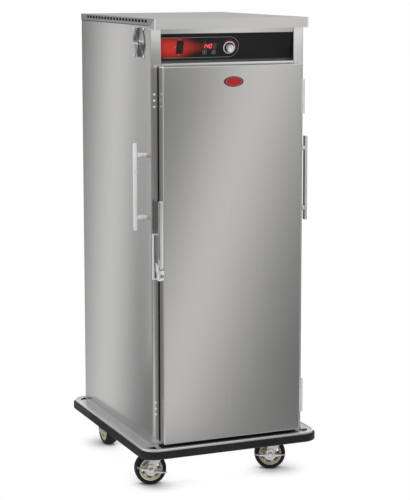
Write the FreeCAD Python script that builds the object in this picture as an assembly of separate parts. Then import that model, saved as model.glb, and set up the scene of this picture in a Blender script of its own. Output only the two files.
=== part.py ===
import FreeCAD, Part
import math
import os

Vector = FreeCAD.Vector

# Heated holding cabinet in millimetres: X to the right, front towards -Y, Z up, floor at zero.
# The origin is on the floor, under the middle of the bumper ring.

# Whole cabinet
overall_height = 1842.0
bumper_width = 760.0
bumper_depth = 918.0
bumper_side_reach = 58.0
bumper_front_reach = 63.0
bumper_back_reach = 47.0
body_bottom = 182.0
outer_sheet = 1.2
seat_gap = 0.3
running_gap = 0.05
cut_overrun = 5.0

# Base frame and bumper
base_sheet = 2.0
rail_width = 40.0
rail_wall = 2.5
ledge_height = 174.0
ledge_sheet = 2.5
pad_thickness = 4.0
pad_margin = 10.0
bumper_corner = 66.0
rubber_proud = 8.0
rubber_bottom = 137.0
rubber_height = 31.0
rubber_edge = 6.0
channel_depth = 22.0
channel_wall = 2.5
channel_height = 31.5
channel_crown = 8.5
groove_depth = 12.0
lip_width = 5.0
lip_height = 2.5
lip_edge = 1.2

# Casters
caster_height = 158.0
caster_inset = 59.0
front_caster_setback = 79.0
rear_caster_inset = 123.5
caster_trail = 38.0
left_swivel_degrees = -12.0
right_swivel_degrees = -21.0
plate_length = 100.0
plate_width = 84.0
plate_thickness = 4.0
plate_bolt_radius = 6.0
plate_bolt_height = 5.0
plate_bolt_inset = 12.0
raceway_radius = 30.0
raceway_height = 7.0
kingpin_radius = 6.0
kingpin_nut_radius = 10.0
kingpin_nut_height = 4.0
crown_thickness = 6.0
leg_gap = 29.5
leg_thickness = 3.5
leg_foot_radius = 14.0
leg_top_ahead = 26.0
leg_top_behind = 44.0
wheel_radius = 63.5
tyre_width = 50.0
tyre_shoulder = 8.0
hub_rim_radius = 47.0
hub_rim_wall = 6.0
hub_rim_width = 46.0
hub_web = 36.0
hub_boss_radius = 13.0
hub_boss_length = 56.0
hub_slot_count = 6
hub_slot_inner = 28.0
hub_slot_outer = 37.0
hub_slot_degrees = 34.0
axle_radius = 5.0
axle_head_radius = 9.8
axle_head_height = 7.0
brake_disc_radius = 23.0
brake_thickness = 3.5
pedal_reach = 61.0
pedal_root = 15.0
pedal_root_height = 12.0
pedal_tip_height = 3.0
pedal_tip_lift = 5.0
pedal_depth = 16.0
brake_degrees = 13.0

# Side panels, jambs, back panel
jamb_width = 43.0
jamb_return = 34.0
bend_radius = 4.0
side_top_drop = 20.0
jamb_screw_inset = 14.0
jamb_screw_pitch = 23.5

# Roof cover and visor
roof_band = 25.0
visor_reach = 42.0
visor_height = 40.0
visor_hem = 14.0
mitre_setback = 25.0
vent_length = 23.0
vent_height = 10.5
vent_count = 20
vent_drop = 11.0
vent_front_setback = 47.0
vent_back_setback = 88.4

# Cavity, liner and insulation
frame_lip = 9.0
cavity_rise = 40.0
cavity_back_wall = 42.0
ceiling_depth = 40.0
liner_sheet = 1.0
frame_depth = 10.0
header_drop = 171.0
deck_rise = 9.0

# Rack
post_size = 14.0
post_end_gap = 118.0
slide_reach = 42.0
slide_drop = 18.0
slide_sheet = 1.5
slide_end_gap = 48.0
slide_count = 13
first_slide_height = 70.0
last_slide_room = 88.0

# Heat module
plenum_height = 60.0
baffle_end_gap = 40.0
intake_radius = 62.0
blower_radius = 80.0
blower_height = 34.0
blower_plate = 2.0
blower_hub_radius = 12.0
blower_blade_length = 22.0
blower_blade_count = 12
blower_drop = 8.0
blower_shaft_radius = 4.0
blower_hole_radius = 9.0
motor_radius = 45.0
motor_height = 70.0
motor_flange_radius = 58.0
motor_flange_height = 4.0
motor_bore_depth = 30.0
heater_ring_radius = 115.0
heater_tube_radius = 4.0
heater_drop = 30.0
heater_terminal_spread = 40.0
heater_terminal_rise = 25.0

# Control panel, its overlay and what it carries
panel_middle_drop = 5.0
panel_recess = 19.0
panel_tilt_degrees = 13.1
panel_sheet = 1.5
overlay_height = 106.0
overlay_sheet = 0.6
switch_share = -0.7
switch_width = 28.0
switch_height = 51.0
switch_bezel = 2.0
switch_window_width = 18.0
switch_window_height = 41.0
switch_body_wall = 3.0
switch_body_depth = 28.0
switch_pocket_depth = 14.0
rocker_length = 38.0
rocker_rise = 5.0
rocker_dish = 2.0
rocker_root = 6.0
rocker_pin_radius = 1.5
rocker_pivot_depth = 2.0
rocker_degrees = 16.0
display_x = -72.0
display_rise = 2.0
display_width = 58.0
display_height = 25.0
display_depth = 6.0
board_width = 104.0
board_height = 80.0
board_sheet = 1.6
board_post_radius = 3.0
board_post_inset = 6.0
button_spread = 38.0
button_drop = 22.0
button_radius = 9.0
button_proud = 1.0
button_flange = 1.5
button_flange_reach = 1.5
button_travel = 0.8
button_switch_radius = 4.0
knob_x = 10.0
knob_drop = 4.4
knob_skirt_radius = 25.0
knob_skirt_height = 3.5
knob_cap_radius = 16.0
knob_cap_top_radius = 14.8
knob_proud = 20.0
knob_pointer_width = 2.0
knob_pointer_depth = 0.8
thermostat_radius = 22.0
thermostat_depth = 30.0
thermostat_shaft_radius = 3.0
thermostat_shaft_length = 14.0

# Cooling fan and its guard
fan_setback = 121.0
fan_drop = 94.0
fan_size = 119.0
fan_depth = 25.0
fan_bore_radius = 57.0
fan_screw_pitch = 105.0
fan_stator_radius = 19.0
fan_stator_depth = 4.0
fan_strut_width = 4.0
fan_pin_radius = 2.5
fan_pin_length = 12.0
rotor_hub_radius = 20.0
rotor_radius = 55.0
rotor_margin = 2.0
rotor_blade_count = 7
rotor_blade_sheet = 1.6
rotor_blade_chord = 24.0
rotor_blade_degrees = 38.0
guard_wire = 2.4
guard_ring_count = 7
guard_inner_radius = 11.0
guard_outer_radius = 58.0
guard_ear_radius = 5.5
screw_head_radius = 4.5
screw_head_height = 2.6
screw_shank_radius = 2.4
screw_length = 14.0

# Power inlet at the back
inlet_inset = 107.0
inlet_drop = 90.0
inlet_flange_radius = 34.0
inlet_flange_height = 4.0
inlet_body_radius = 25.0
inlet_body_depth = 42.0
inlet_recess_radius = 20.0
inlet_recess_depth = 32.0
inlet_blade_width = 6.0
inlet_blade_sheet = 1.6
inlet_blade_length = 18.0
inlet_blade_circle = 11.0

# Door
door_side_lap = 14.0
door_bottom_gap = 9.0
door_top_gap = 9.0
door_thickness = 40.0
door_edge_radius = 5.0
gasket_depth = 9.7
gasket_width = 15.0
gasket_inset = 8.0
badge_width = 81.0
badge_height = 40.0
badge_depth = 3.0
badge_edge = 1.2
badge_drop = 63.0

# Hinges
hinge_height = 135.0
hinge_end_knuckle = 31.0
hinge_knuckle_radius = 7.0
hinge_pin_radius = 4.0
hinge_leaf = 3.0
hinge_side_offset = 14.4
hinge_standoff = 30.0
hinge_leaf_width = 23.0
hinge_web = 9.0
hinge_cheek_reach = 12.6
upper_hinge_drop = 131.0
lower_hinge_rise = 136.0

# Latch
latch_bottom = 840.0
latch_length = 180.0
latch_width = 28.0
latch_depth = 10.0
latch_wall = 2.0
latch_jamb_gap = 1.0
latch_groove_width = 6.0
latch_groove_depth = 1.2
latch_flange = 1.5
latch_block_width = 13.0
latch_block_height = 42.0
latch_block_round = 12.0
latch_screw_radius = 8.5
latch_screw_proud = 1.5
latch_screw_height = 20.0
latch_ear = 2.7
lever_side_gap = 0.6
lever_width = 15.2
lever_depth = 26.0
lever_tip_depth = 18.0
lever_proud = 5.0
lever_reach = 130.0
lever_shoulder_drop = 2.0
lever_tip_slope = 9.0
lever_pin_radius = 3.0
strike_width = 12.0
strike_height = 120.0
strike_sheet = 2.0
magnet_gap = 0.6

# Side handles
handle_length = 338.0
handle_thickness = 12.0
handle_width = 20.0
handle_offset = 43.0
handle_post_radius = 11.0
handle_post_pitch = 242.0
handle_drop = 646.0
handle_setback = 63.0
handle_edge_radius = 4.0

# Worked out from the sizes above
body_half = bumper_width / 2 - bumper_side_reach
body_front = bumper_front_reach - bumper_depth / 2
body_back = bumper_depth / 2 - bumper_back_reach
side_top = overall_height - side_top_drop
header_top = overall_height - header_drop
deck_height = header_top + deck_rise
inside_half = body_half - outer_sheet
inside_back = body_back - outer_sheet
jamb_inner = body_half - jamb_width
visor_front = body_front - visor_reach
visor_bottom = overall_height - visor_height
panel_height = (header_top + visor_bottom) / 2 - panel_middle_drop
panel_lean = math.radians(panel_tilt_degrees)
panel_foot = (panel_height - header_top) * math.tan(panel_lean) + panel_sheet / math.cos(panel_lean)
behind_panel = body_front + panel_recess + panel_foot + seat_gap
roof_half = body_half + seat_gap + outer_sheet
roof_back = body_back + seat_gap + outer_sheet
vent_pitch = (body_back - body_front - vent_front_setback - vent_back_setback) / (vent_count - 1)
cavity_half = jamb_inner - frame_lip
cavity_bottom = body_bottom + cavity_rise
cavity_top = deck_height - ceiling_depth
cavity_front = body_front + frame_depth
cavity_back = body_back - cavity_back_wall
cavity_middle = (cavity_front + cavity_back) / 2
liner_half = cavity_half + liner_sheet
plenum_bottom = cavity_top - plenum_height
last_slide_height = plenum_bottom - last_slide_room
first_slide_top = cavity_bottom + first_slide_height
slide_pitch = (last_slide_height - first_slide_top) / (slide_count - 1)
door_half = jamb_inner + door_side_lap
door_bottom = body_bottom + door_bottom_gap
door_top = header_top - door_top_gap
door_back = body_front - seat_gap - gasket_depth
door_front = door_back - door_thickness
leg_outer = leg_gap + leg_thickness
crown_top = caster_height - plate_thickness - raceway_height - seat_gap
crown_bottom = crown_top - crown_thickness
caster_x = body_half - caster_inset
front_caster_y = body_front + front_caster_setback
rear_caster_y = body_back - rear_caster_inset
fan_y = body_front + fan_setback
fan_height = overall_height - fan_drop
hinge_x = door_half + hinge_side_offset
hinge_y = body_front - hinge_standoff
upper_hinge_height = door_top - upper_hinge_drop
lower_hinge_height = door_bottom + lower_hinge_rise
latch_top = latch_bottom + latch_length
lever_top = latch_top + lever_reach
lever_shoulder = latch_top - lever_shoulder_drop
handle_centre_height = overall_height - handle_drop
switch_x = switch_share * jamb_inner
inlet_x = body_half - inlet_inset
inlet_height = overall_height - inlet_drop

full_turn = 360.0
right_angle = 90.0
hexagon_sides = 6
guard_arms = 4
inlet_blades = 3
groove_shares = (0.3, 0.62)
screw_cap_share = 0.7
ear_reach_share = 0.25

right = Vector(1, 0, 0)
back = Vector(0, 1, 0)
up = Vector(0, 0, 1)
straight_share = 0.999


def block(x0, x1, y0, y1, z0, z1):
    """Box between two corners."""
    return Part.makeBox(x1 - x0, y1 - y0, z1 - z0, Vector(x0, y0, z0))


def centred(x, y, width, depth, z0, z1):
    """Box centred on a point in plan, between two heights."""
    return block(x - width / 2, x + width / 2, y - depth / 2, y + depth / 2, z0, z1)


def rod(radius, start, end):
    """Round bar from one point to another."""
    return Part.makeCylinder(radius, (end - start).Length, start, end - start)


def hexagon(radius, start, end):
    """Six-sided bar from one point to another, radius measured to its corners."""
    axis = end - start
    turn = FreeCAD.Rotation(up, axis)
    angles = [math.radians(full_turn * i / hexagon_sides) for i in range(hexagon_sides + 1)]
    points = [start + turn.multVec(Vector(radius * math.cos(a), radius * math.sin(a), 0)) for a in angles]
    return Part.Face(Part.makePolygon(points)).extrude(axis)


def prism(points, travel):
    """Straight extrusion of a closed outline."""
    return Part.Face(Part.makePolygon(points + points[:1])).extrude(travel)


def fused(shapes):
    """One solid out of several that touch or overlap."""
    return shapes[0].multiFuse(shapes[1:]).removeSplitter()


def mirrored(shape):
    """The same piece on the other side of the cabinet."""
    return shape.mirror(Vector(0, 0, 0), right)


def edges_along(shape, axis):
    """Straight edges of a shape that run along an axis."""
    found = []
    for edge in shape.Edges:
        if len(edge.Vertexes) == 2:
            run = edge.Vertexes[1].Point - edge.Vertexes[0].Point
            if abs(run.dot(axis)) > straight_share * edge.Length:
                found.append(edge)
    return found


def edges_at_height(shape, height):
    """Edges of a shape that lie level at one height."""
    found = []
    for edge in shape.Edges:
        box = edge.BoundBox
        if max(abs(box.ZMin - height), abs(box.ZMax - height)) < seat_gap:
            found.append(edge)
    return found


def rounded_block(half_x, half_y, radius, z0, z1):
    """Box about the origin with its upright edges rounded."""
    plain = block(-half_x, half_x, -half_y, half_y, z0, z1)
    return plain.makeFillet(radius, edges_along(plain, up))


def save(name, shape):
    """Write one node; a list becomes a group of separate solids."""
    if isinstance(shape, list):
        shape = Part.makeCompound(shape)
    shape.exportStep("parts/" + name + ".step")


def base_frame():
    """Welded base: deck, open channels under its edges, ledges out to the bumper, caster pads."""
    rail_top = body_bottom - base_sheet
    ledge_x = bumper_width / 2 - rubber_proud - seat_gap - channel_depth
    ledge_y = bumper_depth / 2 - rubber_proud - seat_gap - channel_depth
    ledge_bottom = ledge_height - ledge_sheet
    corner = bumper_corner - rubber_proud - seat_gap - channel_depth
    ring = block(-body_half, body_half, body_front, body_back, caster_height, rail_top)
    ring_in_x = body_half - rail_width
    hollow = block(-ring_in_x, ring_in_x, body_front + rail_width, body_back - rail_width,
                   caster_height - cut_overrun, rail_top + cut_overrun)
    ring = ring.cut(hollow)
    slot_out_x = body_half - rail_wall
    slot_in_x = ring_in_x + rail_wall
    slot = block(-slot_out_x, slot_out_x, body_front + rail_wall, body_back - rail_wall,
                 caster_height - cut_overrun, rail_top - rail_wall)
    slot = slot.cut(block(-slot_in_x, slot_in_x, body_front + rail_width - rail_wall,
                          body_back - rail_width + rail_wall, caster_height - cut_overrun, rail_top))
    pieces = [ring.cut(slot), block(-body_half, body_half, body_front, body_back, rail_top, body_bottom)]
    for side in (-1, 1):
        ledge = block(body_half, ledge_x, corner - ledge_y, ledge_y - corner, ledge_bottom, ledge_height)
        pad_in = caster_x - plate_width / 2 - pad_margin
        pieces.append(ledge if side > 0 else mirrored(ledge))
        for pad_y in (front_caster_y, rear_caster_y):
            pad_half = plate_length / 2 + pad_margin
            pad = block(pad_in, body_half, pad_y - pad_half, pad_y + pad_half,
                        caster_height, caster_height + pad_thickness)
            pieces.append(pad if side > 0 else mirrored(pad))
    run = ledge_x - corner
    pieces.append(block(-run, run, -ledge_y, body_front, ledge_bottom, ledge_height))
    pieces.append(block(-run, run, body_back, ledge_y, ledge_bottom, ledge_height))
    return fused(pieces)


def bumper_channel():
    """Metal channel round the base, open outwards, with a raised round-edged lip on top."""
    half_x = bumper_width / 2 - rubber_proud - seat_gap
    half_y = bumper_depth / 2 - rubber_proud - seat_gap
    corner = bumper_corner - rubber_proud - seat_gap
    bottom = ledge_height - channel_height
    body = rounded_block(half_x, half_y, corner, bottom, ledge_height)
    lip = rounded_block(half_x, half_y, corner, ledge_height, ledge_height + lip_height)
    lip = lip.cut(rounded_block(half_x - lip_width, half_y - lip_width, corner - lip_width,
                                ledge_height - cut_overrun, ledge_height + lip_height + cut_overrun))
    lip = lip.makeFillet(lip_edge, edges_at_height(lip, ledge_height + lip_height))
    inner = rounded_block(half_x - channel_depth, half_y - channel_depth, corner - channel_depth,
                          bottom - cut_overrun, ledge_height + cut_overrun)
    groove = rounded_block(half_x + cut_overrun, half_y + cut_overrun, corner + cut_overrun,
                           bottom + channel_wall, ledge_height - channel_crown)
    groove = groove.cut(rounded_block(half_x - groove_depth, half_y - groove_depth, corner - groove_depth,
                                      bottom, ledge_height))
    return fused([body.cut(inner).cut(groove), lip])


def bumper_rubber():
    """Rubber bumper: a rounded head outside the channel and a stem inside its groove."""
    half_x = bumper_width / 2
    half_y = bumper_depth / 2
    top = rubber_bottom + rubber_height
    head = rounded_block(half_x, half_y, bumper_corner, rubber_bottom, top)
    head = head.makeFillet(rubber_edge, edges_at_height(head, rubber_bottom) + edges_at_height(head, top))
    head = head.cut(rounded_block(half_x - rubber_proud, half_y - rubber_proud, bumper_corner - rubber_proud,
                                  rubber_bottom - cut_overrun, top + cut_overrun))
    stem_in = rubber_proud + groove_depth
    stem_bottom = ledge_height - channel_height + channel_wall + seat_gap
    stem_top = ledge_height - channel_crown - seat_gap
    stem_out = rubber_proud / 2
    stem = rounded_block(half_x - stem_out, half_y - stem_out, bumper_corner - stem_out,
                         stem_bottom, stem_top)
    stem = stem.cut(rounded_block(half_x - stem_in, half_y - stem_in, bumper_corner - stem_in,
                                  stem_bottom - cut_overrun, stem_top + cut_overrun))
    return fused([head, stem])


def caster_plate(x, y):
    """Fixed top plate of a caster with its four bolt heads."""
    bottom = caster_height - plate_thickness
    pieces = [block(x - plate_width / 2, x + plate_width / 2, y - plate_length / 2, y + plate_length / 2,
                    bottom, caster_height)]
    for side_x in (-1, 1):
        for side_y in (-1, 1):
            centre = Vector(x + side_x * (plate_width / 2 - plate_bolt_inset),
                            y + side_y * (plate_length / 2 - plate_bolt_inset), bottom)
            pieces.append(hexagon(plate_bolt_radius, centre, centre - up * plate_bolt_height))
    return pieces


def front_caster_plate(x):
    """Plate with the raceway, the kingpin and the nut that holds the fork on."""
    pieces = caster_plate(x, front_caster_y)
    top = Vector(x, front_caster_y, caster_height - plate_thickness)
    pin_end = Vector(x, front_caster_y, crown_bottom - seat_gap - kingpin_nut_height)
    pieces.append(rod(raceway_radius, top, top - up * raceway_height))
    pieces.append(rod(kingpin_radius, top, pin_end))
    pieces.append(hexagon(kingpin_nut_radius, pin_end, pin_end + up * kingpin_nut_height))
    return fused(pieces)


def fork_leg(top_ahead, top_behind, top, axle_offset):
    """Flat leg in the XZ plane, from its top edge down to a round foot at the axle; X zero at the pivot."""
    outline = [Vector(top_ahead, 0, top), Vector(-top_behind, 0, top),
               Vector(axle_offset - leg_foot_radius, 0, wheel_radius),
               Vector(axle_offset + leg_foot_radius, 0, wheel_radius)]
    foot = Vector(axle_offset, 0, wheel_radius)
    across = back * leg_thickness
    far = back * cut_overrun
    leg = fused([prism(outline, across), rod(leg_foot_radius, foot, foot + across)])
    return leg.cut(rod(axle_radius + running_gap, foot - far, foot + across + far))


def front_fork(x):
    """Swivel fork: crown on the kingpin and two legs that trail to one side."""
    crown = block(x - leg_top_behind, x + leg_top_ahead, front_caster_y - leg_outer,
                  front_caster_y + leg_outer, crown_bottom, crown_top)
    leg = fork_leg(leg_top_ahead, leg_top_behind, crown_top, -caster_trail)
    pieces = [crown]
    for leg_y in (front_caster_y - leg_outer, front_caster_y + leg_gap):
        pieces.append(leg.translated(Vector(x, leg_y, 0)))
    pivot = Vector(x, front_caster_y, crown_bottom - cut_overrun)
    bore = rod(kingpin_radius + running_gap, pivot, pivot + up * (crown_thickness + 2 * cut_overrun))
    return fused(pieces).cut(bore)


def rear_fork(x):
    """Rigid fork: plate and two legs, wheel rolling front to back."""
    pieces = caster_plate(x, rear_caster_y)
    leg = fork_leg(leg_top_ahead, leg_top_ahead, caster_height - plate_thickness, 0)
    leg.rotate(Vector(0, 0, 0), up, right_angle)
    for leg_x in (x - leg_gap, x + leg_outer):
        pieces.append(leg.translated(Vector(leg_x, rear_caster_y, 0)))
    return fused(pieces)


def axle(start, end):
    """Axle bolt with a hexagon at each end."""
    along = (end - start).normalize()
    head = along * axle_head_height
    return fused([rod(axle_radius, start, end), hexagon(axle_head_radius, start, start - head),
                  hexagon(axle_head_radius, end, end + head)])


def wheel_hub(centre, axis):
    """Moulded hub: rim, web with kidney slots, boss on the axle."""
    half_rim = up * (hub_rim_width / 2)
    half_web = up * (hub_web / 2)
    half_boss = up * (hub_boss_length / 2)
    far = up * (hub_boss_length + cut_overrun)
    rim = rod(hub_rim_radius, -half_rim, half_rim)
    rim = rim.cut(rod(hub_rim_radius - hub_rim_wall, -far, far))
    web = rod(hub_rim_radius - hub_rim_wall / 2, -half_web, half_web)
    ring = rod(hub_slot_outer, -far, far).cut(rod(hub_slot_inner, -far, far))
    for i in range(hub_slot_count):
        wedge = Part.makeCylinder(hub_rim_radius, 2 * far.Length, -far, up, hub_slot_degrees)
        wedge.rotate(Vector(0, 0, 0), up, full_turn * i / hub_slot_count)
        web = web.cut(ring.common(wedge))
    hub = fused([rim, web, rod(hub_boss_radius, -half_boss, half_boss)])
    hub = hub.cut(rod(axle_radius + running_gap, -far, far))
    hub.Placement = FreeCAD.Placement(centre, FreeCAD.Rotation(up, axis))
    return hub


def tyre(centre, axis):
    """Solid tyre with rounded shoulders on the hub's rim."""
    half = up * (tyre_width / 2)
    far = half + up * cut_overrun
    ring = rod(wheel_radius, -half, half)
    ring = ring.makeFillet(tyre_shoulder, edges_at_height(ring, -half.z) + edges_at_height(ring, half.z))
    ring = ring.cut(rod(hub_rim_radius, -far, far))
    ring.Placement = FreeCAD.Placement(centre, FreeCAD.Rotation(up, axis))
    return ring


def brake_pedal(foot, degrees):
    """Rocking brake pedal on the outer end of a front axle, with a tread to each side."""
    inner = foot - back * (leg_outer + seat_gap)
    outer = inner - back * brake_thickness
    pieces = [rod(brake_disc_radius, outer, inner)]
    for side in (-1, 1):
        root = side * pedal_root
        tip = side * pedal_reach
        outline = [Vector(root, 0, -pedal_root_height / 2),
                   Vector(tip, 0, pedal_tip_lift - pedal_tip_height),
                   Vector(tip, 0, pedal_tip_lift), Vector(root, 0, pedal_root_height / 2)]
        tread = prism(outline, -back * pedal_depth)
        pieces.append(tread.translated(inner))
    pedal = fused(pieces)
    room = rod(axle_head_radius + seat_gap, outer, outer - back * (pedal_depth + cut_overrun))
    bore = rod(axle_radius + running_gap, inner + back * cut_overrun, outer - back * cut_overrun)
    pedal = pedal.cut(room).cut(bore)
    pedal.rotate(foot, back, degrees)
    return pedal


def side_panel(holes):
    """Left side sheet, bent round to form the door jamb and turned back into the opening."""
    inner_x = -jamb_inner - outer_sheet
    inner_y = body_front + outer_sheet
    end_y = body_front + jamb_return
    outline = [(-body_half, body_back), (-body_half, body_front), (-jamb_inner, body_front),
               (-jamb_inner, end_y), (inner_x, end_y), (inner_x, inner_y),
               (-inside_half, inner_y), (-inside_half, body_back)]
    panel = prism([Vector(x, y, body_bottom) for x, y in outline], up * (side_top - body_bottom))
    for corners, radius in ((((-body_half, body_front), (-jamb_inner, body_front)), bend_radius),
                            (((-inside_half, inner_y), (inner_x, inner_y)), bend_radius - outer_sheet)):
        bends = []
        for edge in edges_along(panel, up):
            place = edge.Vertexes[0].Point
            if min(math.hypot(place.x - x, place.y - y) for x, y in corners) < seat_gap:
                bends.append(edge)
        panel = panel.makeFillet(radius, bends)
    for hole in holes:
        panel = panel.cut(hole)
    return panel


def fan_screw_places():
    """Centres of the fan's four screws on the left side panel."""
    half = fan_screw_pitch / 2
    heights = (fan_height - half, fan_height + half)
    return [Vector(-body_half, y, z) for y in (fan_y - half, fan_y + half) for z in heights]


def jamb_screw_places():
    """Centres of the spare hinge screws on the left jamb, level with the hinges."""
    x = jamb_screw_inset - body_half
    heights = [middle + step * jamb_screw_pitch for middle in (upper_hinge_height, lower_hinge_height)
               for step in (-1, 0, 1)]
    return [Vector(x, body_front, z) for z in heights]


def left_panel_holes():
    """Fan opening and screw holes in the left side panel."""
    reach = outer_sheet + cut_overrun
    middle = Vector(-body_half, fan_y, fan_height)
    holes = [rod(fan_bore_radius, middle - right * reach, middle + right * reach)]
    for place in fan_screw_places():
        holes.append(rod(screw_shank_radius + seat_gap, place - right * reach, place + right * reach))
    for place in jamb_screw_places():
        holes.append(rod(screw_shank_radius + seat_gap, place - back * reach, place + back * reach))
    return holes


def screw(place, inward):
    """Domed screw with its head outside the face it holds."""
    head = Part.makeSphere(screw_head_radius, place)
    keep = rod(screw_head_radius, place, place - inward * screw_head_height)
    return fused([head.common(keep), rod(screw_shank_radius, place, place + inward * screw_length)])


def panel_screws():
    """Fan guard screws and spare hinge screws, all alike."""
    screws = [screw(place - right * guard_wire, right) for place in fan_screw_places()]
    return screws + [screw(place, back) for place in jamb_screw_places()]


def back_panel():
    """Flat back sheet between the side panels, with the hole for the power inlet."""
    half = inside_half - seat_gap
    sheet = block(-half, half, inside_back, body_back, body_bottom, side_top)
    inside = Vector(inlet_x, inside_back - cut_overrun, inlet_height)
    outside = Vector(inlet_x, body_back + cut_overrun, inlet_height)
    return sheet.cut(rod(inlet_body_radius + seat_gap, inside, outside))


def roof_cover():
    """Roof sheet with turned-down bands, mitred at the front and vented along both sides."""
    band_bottom = overall_height - roof_band
    top = block(-roof_half, roof_half, visor_front, roof_back, overall_height - outer_sheet, overall_height)
    rear = block(-roof_half, roof_half, roof_back - outer_sheet, roof_back, band_bottom, overall_height)
    mitre = body_front + mitre_setback
    outline = [Vector(-roof_half, visor_front, overall_height),
               Vector(-roof_half, roof_back, overall_height),
               Vector(-roof_half, roof_back, band_bottom), Vector(-roof_half, mitre, band_bottom)]
    band = prism(outline, right * outer_sheet)
    vent_z = overall_height - vent_drop
    half_long = vent_length / 2
    half_high = vent_height / 2
    for i in range(vent_count):
        y = body_front + vent_front_setback + i * vent_pitch
        band = band.cut(block(-roof_half - cut_overrun, -body_half + cut_overrun,
                              y - half_long, y + half_long, vent_z - half_high, vent_z + half_high))
    return fused([top, rear, band, mirrored(band)])


def front_visor():
    """Fascia ahead of the roof with its bottom hem and mitred cheeks."""
    top = overall_height - outer_sheet
    face = block(-roof_half, roof_half, visor_front, visor_front + outer_sheet, visor_bottom, top)
    hem = block(-roof_half, roof_half, visor_front, visor_front + visor_hem, visor_bottom,
                visor_bottom + outer_sheet)
    mitre = body_front + mitre_setback
    outline = [Vector(-roof_half, visor_front, visor_bottom), Vector(-roof_half, body_front, visor_bottom),
               Vector(-roof_half, mitre, overall_height - roof_band - seat_gap),
               Vector(-roof_half, visor_front, top - seat_gap)]
    cheek = prism(outline, right * outer_sheet)
    return fused([face, hem, cheek, mirrored(cheek)])


def door_frame():
    """Frame round the mouth of the cavity, with a shelf under the control panel."""
    half = jamb_inner - seat_gap
    ring = block(-half, half, body_front, cavity_front, body_bottom, header_top)
    ring = ring.cut(block(-cavity_half, cavity_half, body_front - cut_overrun, cavity_front + cut_overrun,
                          cavity_bottom, cavity_top))
    shelf = block(-half, half, body_front, body_front + jamb_return, header_top - outer_sheet, header_top)
    return fused([ring, shelf])


def ceiling_holes(extra):
    """Shaft and heater holes through the ceiling, with a little more room where asked."""
    low = cavity_top - cut_overrun
    high = deck_height + cut_overrun
    holes = [rod(blower_hole_radius, Vector(0, cavity_middle, low), Vector(0, cavity_middle, high))]
    for x in (-heater_terminal_spread / 2, heater_terminal_spread / 2):
        y = heater_terminal_y()
        holes.append(rod(heater_tube_radius + extra, Vector(x, y, low), Vector(x, y, high)))
    return holes


def heater_terminal_y():
    """Where the heater's two ends leave its ring."""
    return cavity_middle + math.sqrt(heater_ring_radius ** 2 - (heater_terminal_spread / 2) ** 2)


def pierced(shape, holes):
    """A shape with holes cut through it."""
    for hole in holes:
        shape = shape.cut(hole)
    return shape


def cavity_liner():
    """Inner box of the cavity, open at the front: sheets for its sides, floor, ceiling and back."""
    liner_back = cavity_back + liner_sheet
    low = cavity_bottom - liner_sheet
    high = cavity_top + liner_sheet
    side = block(cavity_half, liner_half, cavity_front, liner_back, low, high)
    floor = block(-cavity_half, cavity_half, cavity_front, liner_back, low, cavity_bottom)
    ceiling = block(-cavity_half, cavity_half, cavity_front, liner_back, cavity_top, high)
    rear = block(-cavity_half, cavity_half, cavity_back, liner_back, cavity_bottom, cavity_top)
    return [side, mirrored(side), floor, pierced(ceiling, ceiling_holes(seat_gap)), rear]


def wall_insulation():
    """Slabs in the walls, the ceiling and the floor, between the liner and the outer sheets."""
    top = deck_height - outer_sheet - seat_gap
    low = body_bottom + seat_gap
    inner = liner_half + seat_gap
    side = block(inner, inside_half - seat_gap, behind_panel, inside_back - seat_gap, low, top)
    liner_back = cavity_back + liner_sheet
    rear = block(-liner_half, liner_half, liner_back + seat_gap, inside_back - seat_gap, low, top)
    over = block(-liner_half, liner_half, behind_panel, liner_back, cavity_top + liner_sheet + seat_gap, top)
    under = block(-liner_half, liner_half, behind_panel, liner_back,
                  low, cavity_bottom - liner_sheet - seat_gap)
    return [side, mirrored(side), rear, pierced(over, ceiling_holes(seat_gap)), under]


def compartment_deck():
    """Floor of the control compartment above the cavity."""
    half = inside_half - seat_gap
    sheet = block(-half, half, behind_panel, inside_back - seat_gap, deck_height - outer_sheet, deck_height)
    return pierced(sheet, ceiling_holes(seat_gap))


def rack_posts():
    """Four upright posts on the side walls of the cavity."""
    posts = []
    for y in (cavity_front + post_end_gap, cavity_back - post_end_gap):
        post = block(-cavity_half, post_size - cavity_half, y - post_size / 2, y + post_size / 2,
                     cavity_bottom, plenum_bottom - seat_gap)
        posts += [post, mirrored(post)]
    return posts


def tray_slides():
    """Angle slides on the posts, one pair for each tray."""
    slides = []
    outer = post_size - cavity_half
    for i in range(slide_count):
        top = first_slide_top + i * slide_pitch
        y0 = cavity_front + slide_end_gap
        y1 = cavity_back - slide_end_gap
        slide = fused([block(outer, outer + slide_reach, y0, y1, top - slide_sheet, top),
                       block(outer, outer + slide_sheet, y0, y1, top - slide_drop, top)])
        slides += [slide, mirrored(slide)]
    return slides


def air_baffle():
    """Tray under the ceiling that makes the heat plenum, with the blower's intake in it."""
    half = cavity_half - seat_gap
    y0 = cavity_front + baffle_end_gap
    y1 = cavity_back - baffle_end_gap
    sheet = block(-half, half, y0, y1, plenum_bottom, plenum_bottom + liner_sheet)
    side = block(half - liner_sheet, half, y0, y1, plenum_bottom, cavity_top - seat_gap)
    centre = Vector(0, cavity_middle, plenum_bottom - cut_overrun)
    hole = rod(intake_radius, centre, centre + up * (liner_sheet + 2 * cut_overrun))
    return fused([sheet, side, mirrored(side)]).cut(hole)


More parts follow.
